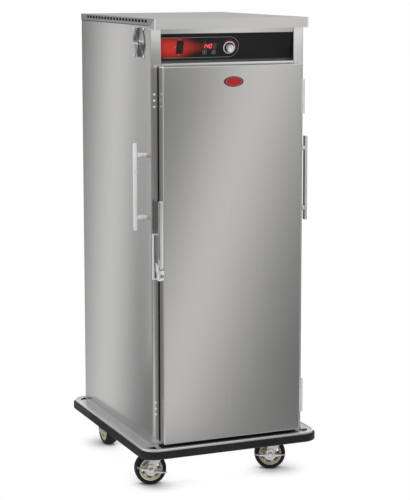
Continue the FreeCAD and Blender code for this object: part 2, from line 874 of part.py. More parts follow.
def heater_element():
    """Open ring of tubular heater with its two ends turned up through the ceiling."""
    middle = Vector(0, cavity_middle, cavity_top - heater_drop)
    gap_degrees = 2 * math.degrees(math.asin(heater_terminal_spread / 2 / heater_ring_radius))
    start = Vector(heater_ring_radius, 0, 0)
    tube_face = Part.Face(Part.Wire(Part.makeCircle(heater_tube_radius, start, back)))
    ring = tube_face.revolve(Vector(0, 0, 0), up, full_turn - gap_degrees)
    ring.rotate(Vector(0, 0, 0), up, right_angle + gap_degrees / 2)
    pieces = [ring.translated(middle)]
    for x in (-heater_terminal_spread / 2, heater_terminal_spread / 2):
        foot = Vector(x, heater_terminal_y(), middle.z)
        head = Vector(x, heater_terminal_y(), deck_height + heater_terminal_rise)
        pieces.append(Part.makeSphere(heater_tube_radius, foot))
        pieces.append(rod(heater_tube_radius, foot, head))
    return fused(pieces)


def blower_motor():
    """Motor on the compartment deck, shaft side down."""
    foot = Vector(0, cavity_middle, deck_height)
    body = fused([rod(motor_radius, foot, foot + up * motor_height),
                  rod(motor_flange_radius, foot, foot + up * motor_flange_height)])
    bore = rod(blower_shaft_radius + running_gap, foot - up * cut_overrun, foot + up * motor_bore_depth)
    return body.cut(bore)


def blower_wheel():
    """Centrifugal wheel under the ceiling, on its shaft."""
    high = Vector(0, cavity_middle, cavity_top - blower_drop)
    low = high - up * blower_height
    shaft_end = Vector(0, cavity_middle, deck_height + motor_bore_depth - seat_gap)
    shroud = rod(blower_radius, low, low + up * blower_plate)
    shroud = shroud.cut(rod(blower_radius - blower_blade_length, low - up * cut_overrun, high))
    pieces = [rod(blower_radius, high - up * blower_plate, high), shroud, rod(blower_hub_radius, low, high),
              rod(blower_shaft_radius, low, shaft_end)]
    for i in range(blower_blade_count):
        blade = block(blower_radius - blower_blade_length, blower_radius - blower_plate,
                      -blower_plate / 2, blower_plate / 2, 0, blower_height)
        blade.rotate(Vector(0, 0, 0), up, full_turn * i / blower_blade_count)
        pieces.append(blade.translated(low))
    return fused(pieces)


def on_panel(shape):
    """Move a shape from the panel's own plane (X across, Y up the panel, Z outwards) into place."""
    turn = FreeCAD.Rotation(right, right_angle + panel_tilt_degrees)
    moved = shape.copy()
    moved.Placement = FreeCAD.Placement(Vector(0, body_front + panel_recess, panel_height), turn)
    return moved


def board_places():
    """Centres of the two buttons on the panel."""
    return [Vector(display_x + side * button_spread / 2, -button_drop, 0) for side in (-1, 1)]


def panel_cutouts():
    """Holes through the control panel and its overlay for what they carry."""
    low = -panel_sheet - cut_overrun
    high = overlay_sheet + cut_overrun
    room = 2 * seat_gap
    trim = 2 * switch_body_wall - room
    cuts = [centred(switch_x, 0, switch_width - trim, switch_height - trim, low, high),
            centred(display_x, display_rise, display_width + room, display_height + room, low, high)]
    for place in board_places():
        cuts.append(rod(button_radius + seat_gap, place + up * low, place + up * high))
    knob = Vector(knob_x, -knob_drop, 0)
    cuts.append(rod(thermostat_shaft_radius + seat_gap, knob + up * low, knob + up * high))
    return cuts


def control_panel():
    """Steel plate of the recess, standing on the shelf and leaning out towards the visor."""
    half = jamb_inner - seat_gap
    low = (header_top + seat_gap - panel_height) / math.cos(panel_lean)
    high = (visor_bottom - panel_height) / math.cos(panel_lean)
    return pierced(block(-half, half, low, high, -panel_sheet, 0), panel_cutouts())


def control_overlay():
    """Thin black graphic sheet on the control panel."""
    width = 2 * (jamb_inner - seat_gap)
    return pierced(centred(0, 0, width, overlay_height, 0, overlay_sheet), panel_cutouts())


def power_switch():
    """Switch case: bezel on the overlay and body behind the panel, with a pocket for the rocker."""
    body_wall = 2 * switch_body_wall
    front = overlay_sheet + switch_bezel
    bezel = centred(switch_x, 0, switch_width, switch_height, overlay_sheet, front)
    body = centred(switch_x, 0, switch_width - body_wall, switch_height - body_wall,
                   -switch_body_depth, overlay_sheet)
    pocket = centred(switch_x, 0, switch_window_width, switch_window_height,
                     -switch_pocket_depth, front + cut_overrun)
    pivot = Vector(switch_x, 0, -rocker_pivot_depth)
    reach = right * (switch_window_width / 2 + seat_gap)
    hole = rod(rocker_pin_radius + running_gap, pivot - reach, pivot + reach)
    return fused([bezel, body]).cut(pocket).cut(hole)


def power_rocker():
    """Rocker with a dished face on its cross pin, resting on one side."""
    half_x = switch_window_width / 2 - seat_gap
    half_y = rocker_length / 2
    outline = [Vector(0, -half_y, -rocker_pivot_depth), Vector(0, -half_y, rocker_rise),
               Vector(0, 0, rocker_rise - rocker_dish), Vector(0, half_y, rocker_rise),
               Vector(0, half_y, -rocker_pivot_depth), Vector(0, 0, -rocker_pivot_depth - rocker_root)]
    body = prism(outline, right * (2 * half_x)).translated(Vector(switch_x - half_x, 0, 0))
    pivot = Vector(switch_x, 0, -rocker_pivot_depth)
    reach = right * (switch_window_width / 2)
    rocker = fused([body, rod(rocker_pin_radius, pivot - reach, pivot + reach)])
    rocker.rotate(pivot, right, -rocker_degrees / 2)
    return rocker


def display_module():
    """Circuit board behind the panel with the display window and the buttons' switches on it."""
    face = -panel_sheet - display_depth
    pieces = [centred(display_x, display_rise, display_width, display_height, face, overlay_sheet),
              centred(display_x, 0, board_width, board_height, face - board_sheet, face)]
    for side_x in (-1, 1):
        for side_y in (-1, 1):
            foot = Vector(display_x + side_x * (board_width / 2 - board_post_inset),
                          side_y * (board_height / 2 - board_post_inset), face)
            pieces.append(rod(board_post_radius, foot, foot + up * display_depth))
    for place in board_places():
        switch_top = -panel_sheet - seat_gap - button_flange - button_travel - seat_gap
        pieces.append(rod(button_switch_radius, place + up * face, place + up * switch_top))
    return fused(pieces)


def push_button(place):
    """Round button in the overlay, held in by a flange behind the panel."""
    flange_top = place - up * (panel_sheet + seat_gap)
    flange_bottom = flange_top - up * button_flange
    front = place + up * (overlay_sheet + button_proud)
    return fused([rod(button_radius, flange_bottom, front),
                  rod(button_radius + button_flange_reach, flange_bottom, flange_top)])


def thermostat():
    """Thermostat behind the panel with its shaft through it."""
    foot = Vector(knob_x, -knob_drop, -panel_sheet)
    return fused([rod(thermostat_radius, foot - up * thermostat_depth, foot),
                  rod(thermostat_shaft_radius, foot, foot + up * thermostat_shaft_length)])


def thermostat_knob():
    """Skirted knob on the thermostat's shaft, with a pointer groove."""
    foot = Vector(knob_x, -knob_drop, overlay_sheet + seat_gap)
    skirt_top = foot + up * knob_skirt_height
    top = foot + up * knob_proud
    cap = Part.makeCone(knob_cap_radius, knob_cap_top_radius, (top - skirt_top).Length, skirt_top, up)
    knob = fused([rod(knob_skirt_radius, foot, skirt_top), cap])
    shaft_end = -panel_sheet + thermostat_shaft_length + seat_gap
    knob = knob.cut(rod(thermostat_shaft_radius + running_gap, foot - up * cut_overrun,
                        Vector(foot.x, foot.y, shaft_end)))
    groove = block(foot.x - knob_pointer_width / 2, foot.x + knob_pointer_width / 2, foot.y,
                   foot.y + knob_cap_radius, top.z - knob_pointer_depth, top.z + cut_overrun)
    return knob.cut(groove)


def fan_housing():
    """Square fan frame against the inside of the left panel, with a stator on struts."""
    half = fan_size / 2
    x0 = -inside_half
    x1 = x0 + fan_depth
    far = right * cut_overrun
    middle = Vector(x0, fan_y, fan_height)
    end = Vector(x1, fan_y, fan_height)
    frame = block(x0, x1, fan_y - half, fan_y + half, fan_height - half, fan_height + half)
    frame = frame.cut(rod(fan_bore_radius, middle - far, end + far))
    for place in fan_screw_places():
        screw_end = Vector(x1, place.y, place.z)
        frame = frame.cut(rod(screw_shank_radius + seat_gap, place - far, screw_end + far))
    stator = end - right * fan_stator_depth
    strut_half = fan_strut_width / 2
    reach = fan_bore_radius + strut_half
    pieces = [frame, rod(fan_stator_radius, stator, end),
              rod(fan_pin_radius, stator, stator - right * fan_pin_length)]
    for half_y, half_z in ((reach, strut_half), (strut_half, reach)):
        pieces.append(block(stator.x, x1, fan_y - half_y, fan_y + half_y,
                            fan_height - half_z, fan_height + half_z))
    return fused(pieces)


def fan_rotor():
    """Axial rotor on the stator's pin."""
    x0 = rotor_margin - inside_half
    x1 = fan_depth - inside_half - fan_stator_depth - seat_gap
    middle = Vector((x0 + x1) / 2, fan_y, fan_height)
    start = Vector(x0, fan_y, fan_height)
    end = Vector(x1, fan_y, fan_height)
    pieces = [rod(rotor_hub_radius, start, end)]
    for i in range(rotor_blade_count):
        blade = centred(0, 0, rotor_blade_sheet, rotor_blade_chord, rotor_hub_radius / 2, rotor_radius)
        blade.rotate(Vector(0, 0, 0), up, rotor_blade_degrees)
        blade.rotate(Vector(0, 0, 0), right, full_turn * i / rotor_blade_count)
        pieces.append(blade.translated(middle))
    rotor = fused(pieces)
    rotor = rotor.common(rod(rotor_radius, start, end))
    return rotor.cut(rod(fan_pin_radius + running_gap, end + right * cut_overrun,
                         end - right * (fan_pin_length + seat_gap)))


def fan_guard():
    """Finger guard: rings on four diagonal arms that end in screw ears."""
    middle = Vector(-body_half, fan_y, fan_height)
    arm_out = middle - right * guard_wire
    ring_out = arm_out - right * guard_wire
    far = right * cut_overrun
    step = (guard_outer_radius - guard_inner_radius) / (guard_ring_count - 1)
    pieces = []
    for i in range(guard_ring_count):
        radius = guard_inner_radius + i * step
        ring = rod(radius, ring_out, arm_out)
        pieces.append(ring.cut(rod(radius - guard_wire, ring_out - far, arm_out + far)))
    reach = fan_screw_pitch / math.sqrt(2)
    for i in range(guard_arms):
        arm = block(-guard_wire, 0, -guard_wire / 2, guard_wire / 2, guard_inner_radius - guard_wire, reach)
        arm.rotate(Vector(0, 0, 0), right, full_turn * (i + 1 / 2) / guard_arms)
        pieces.append(arm.translated(middle))
    for place in fan_screw_places():
        pieces.append(rod(guard_ear_radius, place - right * guard_wire, place))
    guard = fused(pieces)
    for place in fan_screw_places():
        guard = guard.cut(rod(screw_shank_radius + seat_gap, place - right * guard_wire - far, place + far))
    return guard


def power_inlet():
    """Flanged power inlet in the back panel: a round recess with three blades."""
    mouth = Vector(inlet_x, body_back + inlet_flange_height, inlet_height)
    face = Vector(inlet_x, body_back, inlet_height)
    inner = face - back * inlet_body_depth
    floor = mouth - back * inlet_recess_depth
    shell = fused([rod(inlet_flange_radius, face, mouth), rod(inlet_body_radius, inner, face)])
    shell = shell.cut(rod(inlet_recess_radius, floor, mouth + back * cut_overrun))
    pieces = [shell]
    half_width = inlet_blade_width / 2
    half_sheet = inlet_blade_sheet / 2
    for i in range(inlet_blades):
        blade = block(-half_sheet, half_sheet, -seat_gap, inlet_blade_length,
                      inlet_blade_circle - half_width, inlet_blade_circle + half_width)
        blade.rotate(Vector(0, 0, 0), back, full_turn * i / inlet_blades)
        pieces.append(blade.translated(floor))
    return fused(pieces)


def rounded_door_block(inset, end):
    """Door-shaped box with its front and its corners rounded, smaller by an inset, back to an end."""
    half = door_half - inset
    box = block(-half, half, door_front + inset, end, door_bottom + inset, door_top - inset)
    front = [e for e in box.Edges if e.BoundBox.YMax < door_front + inset + seat_gap]
    return box.makeFillet(door_edge_radius - inset, front + edges_along(box, back))


def door_skin():
    """Outer door pan, open at the back."""
    return rounded_door_block(0, door_back).cut(rounded_door_block(outer_sheet, door_back + cut_overrun))


def door_liner():
    """Flat inner sheet that closes the back of the door pan."""
    half = door_half - outer_sheet - seat_gap
    sheet = block(-half, half, door_back - outer_sheet, door_back, door_bottom + outer_sheet + seat_gap,
                  door_top - outer_sheet - seat_gap)
    return sheet.makeFillet(door_edge_radius - outer_sheet, edges_along(sheet, back))


def door_insulation():
    """Slab inside the door."""
    inset = outer_sheet + door_edge_radius
    half = door_half - inset
    return block(-half, half, door_front + outer_sheet + seat_gap, door_back - outer_sheet - seat_gap,
                 door_bottom + inset, door_top - inset)


def door_gasket():
    """Seal round the back of the door."""
    outer = door_half - gasket_inset
    inner = outer - gasket_width
    low = door_bottom + gasket_inset
    high = door_top - gasket_inset
    ring = block(-outer, outer, door_back, door_back + gasket_depth, low, high)
    return ring.cut(block(-inner, inner, door_back - cut_overrun, door_back + gasket_depth + cut_overrun,
                          low + gasket_width, high - gasket_width))


def door_badge():
    """Plain oval plate on the door, its front edge eased."""
    outline = Part.Ellipse(Vector(0, 0, 0), badge_width / 2, badge_height / 2).toShape()
    plate = Part.Face(Part.Wire(outline)).extrude(up * badge_depth)
    plate = plate.makeFillet(badge_edge, edges_at_height(plate, badge_depth))
    plate.Placement = FreeCAD.Placement(Vector(0, door_front, door_top - badge_drop),
                                        FreeCAD.Rotation(right, right_angle))
    return plate


def hinge_body_leaf(middle):
    """Leaf on the right jamb with the pin and two end knuckles that widen towards the door."""
    half = hinge_height / 2
    foot = Vector(hinge_x, hinge_y, middle - half)
    head = Vector(hinge_x, hinge_y, middle + half)
    leaf_half = hinge_leaf_width / 2
    web_half = hinge_web / 2
    leaf_front = body_front - hinge_leaf
    pieces = [block(hinge_x - leaf_half, hinge_x + leaf_half, leaf_front, body_front, foot.z, head.z),
              rod(hinge_pin_radius, foot, head)]
    for low in (foot, head - up * hinge_end_knuckle):
        high = low + up * hinge_end_knuckle
        pieces.append(rod(hinge_knuckle_radius, low, high))
        pieces.append(block(hinge_x - web_half, hinge_x + web_half, hinge_y, leaf_front, low.z, high.z))
        pieces.append(block(hinge_x - hinge_cheek_reach, hinge_x, hinge_y - web_half, hinge_y + web_half,
                            low.z, high.z))
    return fused(pieces)


def hinge_door_leaf(middle):
    """Leaf on the edge of the door with the middle knuckle."""
    half = hinge_height / 2 - hinge_end_knuckle - seat_gap
    foot = Vector(hinge_x, hinge_y, middle - half)
    head = Vector(hinge_x, hinge_y, middle + half)
    plate = block(door_half, door_half + hinge_leaf, door_front + door_edge_radius, door_back - hinge_leaf,
                  foot.z, head.z)
    web = block(door_half, hinge_x, hinge_y - hinge_web / 2, hinge_y + hinge_web / 2, foot.z, head.z)
    leaf = fused([plate, web, rod(hinge_knuckle_radius, foot, head)])
    return leaf.cut(rod(hinge_pin_radius + running_gap, foot - up * cut_overrun, head + up * cut_overrun))


def lever_pivot():
    """Middle of the latch lever's pin."""
    x = -door_half - latch_flange - lever_side_gap - lever_width / 2
    y = door_front - lever_proud + lever_depth / 2
    z = latch_bottom + latch_block_height + seat_gap + lever_depth / 2
    return Vector(x, y, z)


def latch_case():
    """Latch on the door's left edge: grooved channel over the jamb, foot block, flange and lever pin."""
    channel_back = body_front - latch_jamb_gap
    channel_front = channel_back - latch_depth
    x1 = -door_half
    x0 = x1 - latch_width
    hollow_in = x1 - latch_wall
    hollow_out = x0 + latch_wall
    channel = block(x0, x1, channel_front, channel_back, latch_bottom, latch_top)
    hollow = block(hollow_out, hollow_in, channel_front + latch_wall, channel_back + cut_overrun,
                   latch_bottom + latch_wall, latch_top - latch_wall)
    channel = channel.cut(hollow)
    for share in groove_shares:
        middle = x0 + share * latch_width
        channel = channel.cut(block(middle - latch_groove_width / 2, middle + latch_groove_width / 2,
                                    channel_front - cut_overrun, channel_front + latch_groove_depth,
                                    latch_bottom + latch_wall, latch_top - latch_wall))
    magnet = block(hollow_out, hollow_in, channel_front + latch_wall, body_front - strike_sheet - magnet_gap,
                   strike_middle() - strike_height / 2, strike_middle() + strike_height / 2)
    pivot = lever_pivot()
    front = door_front - lever_proud
    foot = block(x1 - latch_block_width, x1, front, channel_front,
                 latch_bottom, latch_bottom + latch_block_height)
    low_front = [e for e in edges_along(foot, right) if e.BoundBox.ZMax < latch_bottom + seat_gap
                 and e.BoundBox.YMax < front + seat_gap]
    foot = foot.makeFillet(latch_block_round, low_front)
    flange = block(x1 - latch_flange, x1, pivot.y, channel_front, latch_bottom, latch_top)
    ear_x = pivot.x - lever_width / 2 - seat_gap
    ear = block(ear_x - latch_ear, ear_x, pivot.y - ear_reach_share * lever_depth, channel_front,
                latch_bottom, pivot.z + lever_depth / 2)
    screw_place = Vector(x1 - latch_block_width / 2, front, latch_bottom + latch_screw_height)
    cap = rod(latch_screw_radius * screw_cap_share, screw_place, screw_place - back * latch_screw_proud)
    pin = rod(lever_pin_radius, Vector(x1, pivot.y, pivot.z), Vector(ear_x - latch_ear, pivot.y, pivot.z))
    return fused([channel, magnet, foot, flange, ear, cap, pin])


def strike_middle():
    """Height of the middle of the strike plate."""
    return (latch_bottom + latch_top) / 2


def latch_strike():
    """Steel plate on the jamb that the latch's magnet holds."""
    middle_x = -door_half - latch_width / 2
    return centred(middle_x, body_front - strike_sheet / 2, strike_width, strike_sheet,
                   strike_middle() - strike_height / 2, strike_middle() + strike_height / 2)


def latch_lever():
    """Long pull lever on the latch's pin, tapered above the case."""
    pivot = lever_pivot()
    half = lever_depth / 2
    front = pivot.y - half
    rear = pivot.y + half
    tip_rear = front + lever_tip_depth
    x0 = pivot.x - lever_width / 2
    outline = [(front, pivot.z), (rear, pivot.z), (rear, lever_shoulder - lever_tip_slope),
               (tip_rear, lever_shoulder + lever_tip_slope), (tip_rear, lever_top - lever_tip_slope),
               (tip_rear - lever_tip_slope, lever_top), (front, lever_top)]
    foot = Vector(x0, pivot.y, pivot.z)
    across = right * lever_width
    far = right * cut_overrun
    blade = prism([Vector(x0, y, z) for y, z in outline], across)
    lever = fused([blade, rod(half, foot, foot + across)])
    return lever.cut(rod(lever_pin_radius + running_gap, foot - far, foot + across + far))


def side_handle():
    """Left bar handle: flat bar on two round posts."""
    y = body_front + handle_setback
    bar_x = -body_half - handle_offset
    half = handle_length / 2
    bar = centred(bar_x, y, handle_thickness, handle_width,
                  handle_centre_height - half, handle_centre_height + half)
    pieces = [bar.makeFillet(handle_edge_radius, edges_along(bar, up))]
    for side in (-1, 1):
        foot = Vector(-body_half, y, handle_centre_height + side * handle_post_pitch / 2)
        pieces.append(rod(handle_post_radius, foot, Vector(bar_x, foot.y, foot.z)))
    return fused(pieces)


os.makedirs("parts", exist_ok=True)

save("base_frame", base_frame())
save("bumper_channel", bumper_channel())
save("bumper_rubber", bumper_rubber())

save("front_caster_plates", [front_caster_plate(-caster_x), front_caster_plate(caster_x)])
save("rear_caster_forks", [rear_fork(-caster_x), rear_fork(caster_x)])
rear_axles = []
for name, x, pedal_degrees, swivel_degrees in (("left", -caster_x, brake_degrees, left_swivel_degrees),
                                               ("right", caster_x, 0, right_swivel_degrees)):
    pivot = Vector(x, front_caster_y, 0)
    foot = Vector(x - caster_trail, front_caster_y, wheel_radius)
    axle_front = foot - back * (leg_outer + 2 * seat_gap + brake_thickness)
    swivelling = {"front_fork_": front_fork(x),
                  "front_axle_": axle(axle_front, foot + back * (leg_outer + seat_gap)),
                  "front_hub_": wheel_hub(foot, back),
                  "front_tyre_": tyre(foot, back),
                  "brake_pedal_": brake_pedal(foot, pedal_degrees)}
    for piece, shape in swivelling.items():
        shape.rotate(pivot, up, swivel_degrees)
        save(piece + name, shape)
    rear_foot = Vector(x, rear_caster_y, wheel_radius)
    axle_half = right * (leg_outer + seat_gap)
    rear_axles.append(axle(rear_foot - axle_half, rear_foot + axle_half))
    save("rear_hub_" + name, wheel_hub(rear_foot, right))
    save("rear_tyre_" + name, tyre(rear_foot, right))
save("rear_axles", rear_axles)

save("side_panel_left", side_panel(left_panel_holes()))
save("side_panel_right", mirrored(side_panel([])))
save("back_panel", back_panel())
save("roof_cover", roof_cover())
save("front_visor", front_visor())
save("door_frame", door_frame())
save("panel_screws", panel_screws())
save("side_handles", [side_handle(), mirrored(side_handle())])

save("cavity_liner", cavity_liner())
save("wall_insulation", wall_insulation())
save("compartment_deck", compartment_deck())
save("rack_posts", rack_posts())
save("tray_slides", tray_slides())
save("air_baffle", air_baffle())
save("heater_element", heater_element())
save("blower_motor", blower_motor())
save("blower_wheel", blower_wheel())

save("control_panel", on_panel(control_panel()))
save("control_overlay", on_panel(control_overlay()))
save("power_switch", on_panel(power_switch()))
save("power_rocker", on_panel(power_rocker()))
save("display_module", on_panel(display_module()))
down_place, up_place = board_places()
save("button_down", on_panel(push_button(down_place)))
save("button_up", on_panel(push_button(up_place)))
save("thermostat", on_panel(thermostat()))
save("thermostat_knob", on_panel(thermostat_knob()))

save("fan_housing", fan_housing())
save("fan_rotor", fan_rotor())
save("fan_guard", fan_guard())
save("power_inlet", power_inlet())

hinge_heights = (upper_hinge_height, lower_hinge_height)
save("door_skin", door_skin())
save("door_liner", door_liner())
save("door_insulation", door_insulation())
save("door_gasket", door_gasket())
save("door_badge", door_badge())
save("hinge_body_leaves", [hinge_body_leaf(z) for z in hinge_heights])
save("hinge_door_leaves", [hinge_door_leaf(z) for z in hinge_heights])
save("latch_case", latch_case())
save("latch_lever", latch_lever())
save("latch_strike", latch_strike())
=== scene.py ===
import math

import bmesh
import bpy
from mathutils import Euler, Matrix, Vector


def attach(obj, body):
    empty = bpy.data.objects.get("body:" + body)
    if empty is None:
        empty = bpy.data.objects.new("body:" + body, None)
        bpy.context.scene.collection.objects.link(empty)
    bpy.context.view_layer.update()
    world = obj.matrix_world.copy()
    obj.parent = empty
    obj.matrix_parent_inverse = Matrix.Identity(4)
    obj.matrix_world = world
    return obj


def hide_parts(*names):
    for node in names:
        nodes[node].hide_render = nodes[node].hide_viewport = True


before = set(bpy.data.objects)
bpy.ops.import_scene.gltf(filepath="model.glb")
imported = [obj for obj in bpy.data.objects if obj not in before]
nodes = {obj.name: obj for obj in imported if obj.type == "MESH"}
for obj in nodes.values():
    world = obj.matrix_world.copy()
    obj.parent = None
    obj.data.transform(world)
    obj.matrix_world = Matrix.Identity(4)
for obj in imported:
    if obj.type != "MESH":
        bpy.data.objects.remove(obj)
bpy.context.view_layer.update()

# Camera of the photograph, in metres, degrees and millimetres of lens
camera_place = (-2.5827, -6.2537, 2.0254)
camera_turn = (82.062, 0.046, -22.982)
camera_lens = 119.0
camera_sensor = 36.0
camera_shift_y = -0.1

# Control panel's own plane: X across, Y up the panel, Z outwards
panel_origin = (0.0, -0.377, 1.7315)
panel_turn = (math.radians(103.1), 0.0, 0.0)
overlay_face = 0.0006
knob_centre = (0.01, -0.0044)
switch_centre = (-0.1953, 0.0)
display_centre = (-0.072, 0.002)
button_centres = {"down": (-0.091, -0.022), "up": (-0.053, -0.022)}

# Places on the cabinet that several pieces share, in metres
body_side, body_front = 0.322, -0.396
hinge_heights = (1.531, 0.327)
lever_pivot = (-0.438, 0.8953)
handle_y, handle_inner, handle_outer = -0.333, 0.359, 0.371
handle_low, handle_high, handle_half = 1.027, 1.365, 0.01
fan_y, fan_z, fan_screw_reach = -0.275, 1.748, 0.0525
running_gap = 0.0003
sharp_angle = math.radians(35.0)
slack, weld_distance = 0.0005, 0.000005
print_sheet = 0.0003

# No turn or move, and turns by halves and quarters
origin = (0.0, 0.0, 0.0)
half_turn = math.pi
quarter_turn = math.pi / 2
whole_turn = 2 * math.pi

# Turns that make a piece modelled upright face one way
face_front, face_back = (quarter_turn, 0.0, 0.0), (-quarter_turn, 0.0, 0.0)
face_left, face_right = (0.0, -quarter_turn, 0.0), (0.0, quarter_turn, 0.0)
face_down = (half_turn, 0.0, 0.0)
both_sides = (("left", -1.0), ("right", 1.0))


# Shader building

def wire(tree, source, target):
    """Join two sockets."""
    tree.links.new(source, target)


def add_node(tree, kind, values=None, **settings):
    """Shader node with its settings, and plain values for some of its inputs."""
    node = tree.nodes.new(kind)
    for name, value in settings.items():
        setattr(node, name, value)
    for label, value in (values or {}).items():
        node.inputs[label].default_value = value
    return node


def calc(tree, operation, first, second=None):
    """Math node on sockets or plain numbers; gives its value socket."""
    node = add_node(tree, "ShaderNodeMath", operation=operation)
    for index, term in enumerate((first, second)):
        if term is None:
            continue
        if isinstance(term, (int, float)):
            node.inputs[index].default_value = term
        else:
            wire(tree, term, node.inputs[index])
    return node.outputs["Value"]


def start_group(name, inputs, outputs):
    """Shader node group with named sockets."""
    group = bpy.data.node_groups.new(name, "ShaderNodeTree")
    for label, kind, default in inputs:
        socket = group.interface.new_socket(label, in_out="INPUT", socket_type=kind)
        socket.default_value = default
    for label, kind in outputs:
        group.interface.new_socket(label, in_out="OUTPUT", socket_type=kind)
    return group, add_node(group, "NodeGroupInput"), add_node(group, "NodeGroupOutput")


def grey(level, warm=0.0):
    """Neutral colour, a touch warmer where asked."""
    return (level * (1.0 + warm), level, level * (1.0 - warm), 1.0)


def tone_ramp(tree, share, stops):
    """Colour that a value gives on a ramp of positions and colours, plain greys given as numbers."""
    node = add_node(tree, "ShaderNodeValToRGB")
    elements = node.color_ramp.elements
    while len(elements) < len(stops):
        elements.new(1.0)
    for element, (position, colour) in zip(elements, stops):
        element.position = position
        element.color = colour if isinstance(colour, tuple) else grey(colour)
    wire(tree, share, node.inputs["Fac"])
    return node.outputs["Color"]


def mix_colours(tree, share, first, second):
    """Blend two colours, sockets or plain ones, by a share."""
    node = add_node(tree, "ShaderNodeMix", data_type="RGBA")
    wire(tree, share, node.inputs["Factor"])
    for socket, term in ((node.inputs[6], first), (node.inputs[7], second)):
        if isinstance(term, tuple):
            socket.default_value = term
        else:
            wire(tree, term, socket)
    return node.outputs[2]


def noise_value(tree, vector, scale, detail):
    """Soft noise over a vector socket."""
    node = add_node(tree, "ShaderNodeTexNoise", {"Scale": scale, "Detail": detail}, noise_dimensions="3D")
    wire(tree, vector, node.inputs["Vector"])
    return node.outputs["Fac"]


def make_brushed_grain():
    """Long fine scratches of brushed sheet over slow patches of handling."""
    group, ins, outs = start_group(
        "brushed_grain", [("Along", "NodeSocketVector", (700.0, 700.0, 5.0))],
        [("Tone", "NodeSocketFloat"), ("Scratch", "NodeSocketFloat")])
    coords = add_node(group, "ShaderNodeTexCoord")
    stretch = add_node(group, "ShaderNodeVectorMath", operation="MULTIPLY")
    wire(group, coords.outputs["Object"], stretch.inputs[0])
    wire(group, ins.outputs["Along"], stretch.inputs[1])
    scratch = noise_value(group, stretch.outputs["Vector"], 1.0, 4.0)
    patch = noise_value(group, coords.outputs["Object"], 3.0, 3.0)
    tone = calc(group, "ADD", calc(group, "MULTIPLY", scratch, 0.65), calc(group, "MULTIPLY", patch, 0.35))
    wire(group, tone, outs.inputs["Tone"])
    wire(group, scratch, outs.inputs["Scratch"])
    return group


def make_speckle():
    """Fine moulded, cast or plated texture over a slow change of tone."""
    group, ins, outs = start_group(
        "speckle", [("Fineness", "NodeSocketFloat", 900.0), ("Patches", "NodeSocketFloat", 14.0)],
        [("Grit", "NodeSocketFloat"), ("Patch", "NodeSocketFloat")])
    coords = add_node(group, "ShaderNodeTexCoord")
    for label, target, detail in (("Fineness", "Grit", 3.0), ("Patches", "Patch", 4.0)):
        node = add_node(group, "ShaderNodeTexNoise", {"Detail": detail}, noise_dimensions="3D")
        wire(group, coords.outputs["Object"], node.inputs["Vector"])
        wire(group, ins.outputs[label], node.inputs["Scale"])
        wire(group, node.outputs["Fac"], outs.inputs[target])
    return group


brushed_grain = make_brushed_grain()
speckle = make_speckle()


def bare_material(name):
    """Material with only its output."""
    material = bpy.data.materials.new(name)
    material.use_nodes = True
    tree = material.node_tree
    tree.nodes.clear()
    return material, tree, add_node(tree, "ShaderNodeOutputMaterial")


def start_material(name, values):
    """Material with a Principled shader and plain values for some of its inputs."""
    material, tree, output = bare_material(name)
    shader = add_node(tree, "ShaderNodeBsdfPrincipled", values)
    wire(tree, shader.outputs["BSDF"], output.inputs["Surface"])
    return material, tree, shader


def add_relief(tree, shader, height, strength, distance):
    """Bump from a height value."""
    bump = add_node(tree, "ShaderNodeBump", {"Strength": strength, "Distance": distance})
    wire(tree, height, bump.inputs["Height"])
    wire(tree, bump.outputs["Normal"], shader.inputs["Normal"])


def carry(tree, source, start, end, low=0.0, high=1.0, way="LINEAR"):
    """Carry a value from one range into another."""
    limits = {"From Min": start, "From Max": end, "To Min": low, "To Max": high}
    node = add_node(tree, "ShaderNodeMapRange", limits, interpolation_type=way)
    wire(tree, source, node.inputs["Value"])
    return node.outputs["Result"]


def spread(tree, source, low, high):
    """Carry the middle of a noise value into a range."""
    return carry(tree, source, 0.3, 0.7, low, high)


def within(tree, value, middle, half):
    """1 where a value lies within half a width of its middle."""
    return calc(tree, "LESS_THAN", calc(tree, "ABSOLUTE", calc(tree, "SUBTRACT", value, middle)), half)


def zone_share(tree, slope, low, high):
    """1 where a slanted measure of the place is in a range; left and right count alike."""
    coords = add_node(tree, "ShaderNodeTexCoord")
    split = add_node(tree, "ShaderNodeSeparateXYZ")
    wire(tree, coords.outputs["Object"], split.inputs["Vector"])
    measure = calc(tree, "MULTIPLY", calc(tree, "ABSOLUTE", split.outputs["X"]), slope[0])
    measure = calc(tree, "ADD", measure, calc(tree, "MULTIPLY", split.outputs["Y"], slope[1]))
    measure = calc(tree, "ADD", measure, calc(tree, "MULTIPLY", split.outputs["Z"], slope[2]))
    return within(tree, measure, (low + high) / 2, (high - low) / 2)


def x_band(low, high):
    """Range of distance to either side of the middle, for a zone."""
    return (1.0, 0.0, 0.0), low, high


def y_band(low, high):
    """Range of depth, for a zone."""
    return (0.0, 1.0, 0.0), low, high


def z_band(low, high):
    """Range of height, for a zone."""
    return (0.0, 0.0, 1.0), low, high


def add_zones(tree, colour, zones):
    """Another tone in each zone, which is where all its ranges meet; the zones are painted shade and
    painted highlights.
    """
    for bounds, level in zones:
        share = zone_share(tree, *bounds[0])
        for slope, low, high in bounds[1:]:
            share = calc(tree, "MULTIPLY", share, zone_share(tree, slope, low, high))
        colour = mix_colours(tree, share, colour, grey(level, steel_warmth))
    return colour


def add_speckle(tree, fineness, dark, light):
    """Speckle node, and a colour between two tones that follows its patches."""
    grit = add_node(tree, "ShaderNodeGroup", node_tree=speckle)
    grit.inputs["Fineness"].default_value = fineness
    return grit, tone_ramp(tree, grit.outputs["Patch"], ((0.3, dark), (0.7, light)))


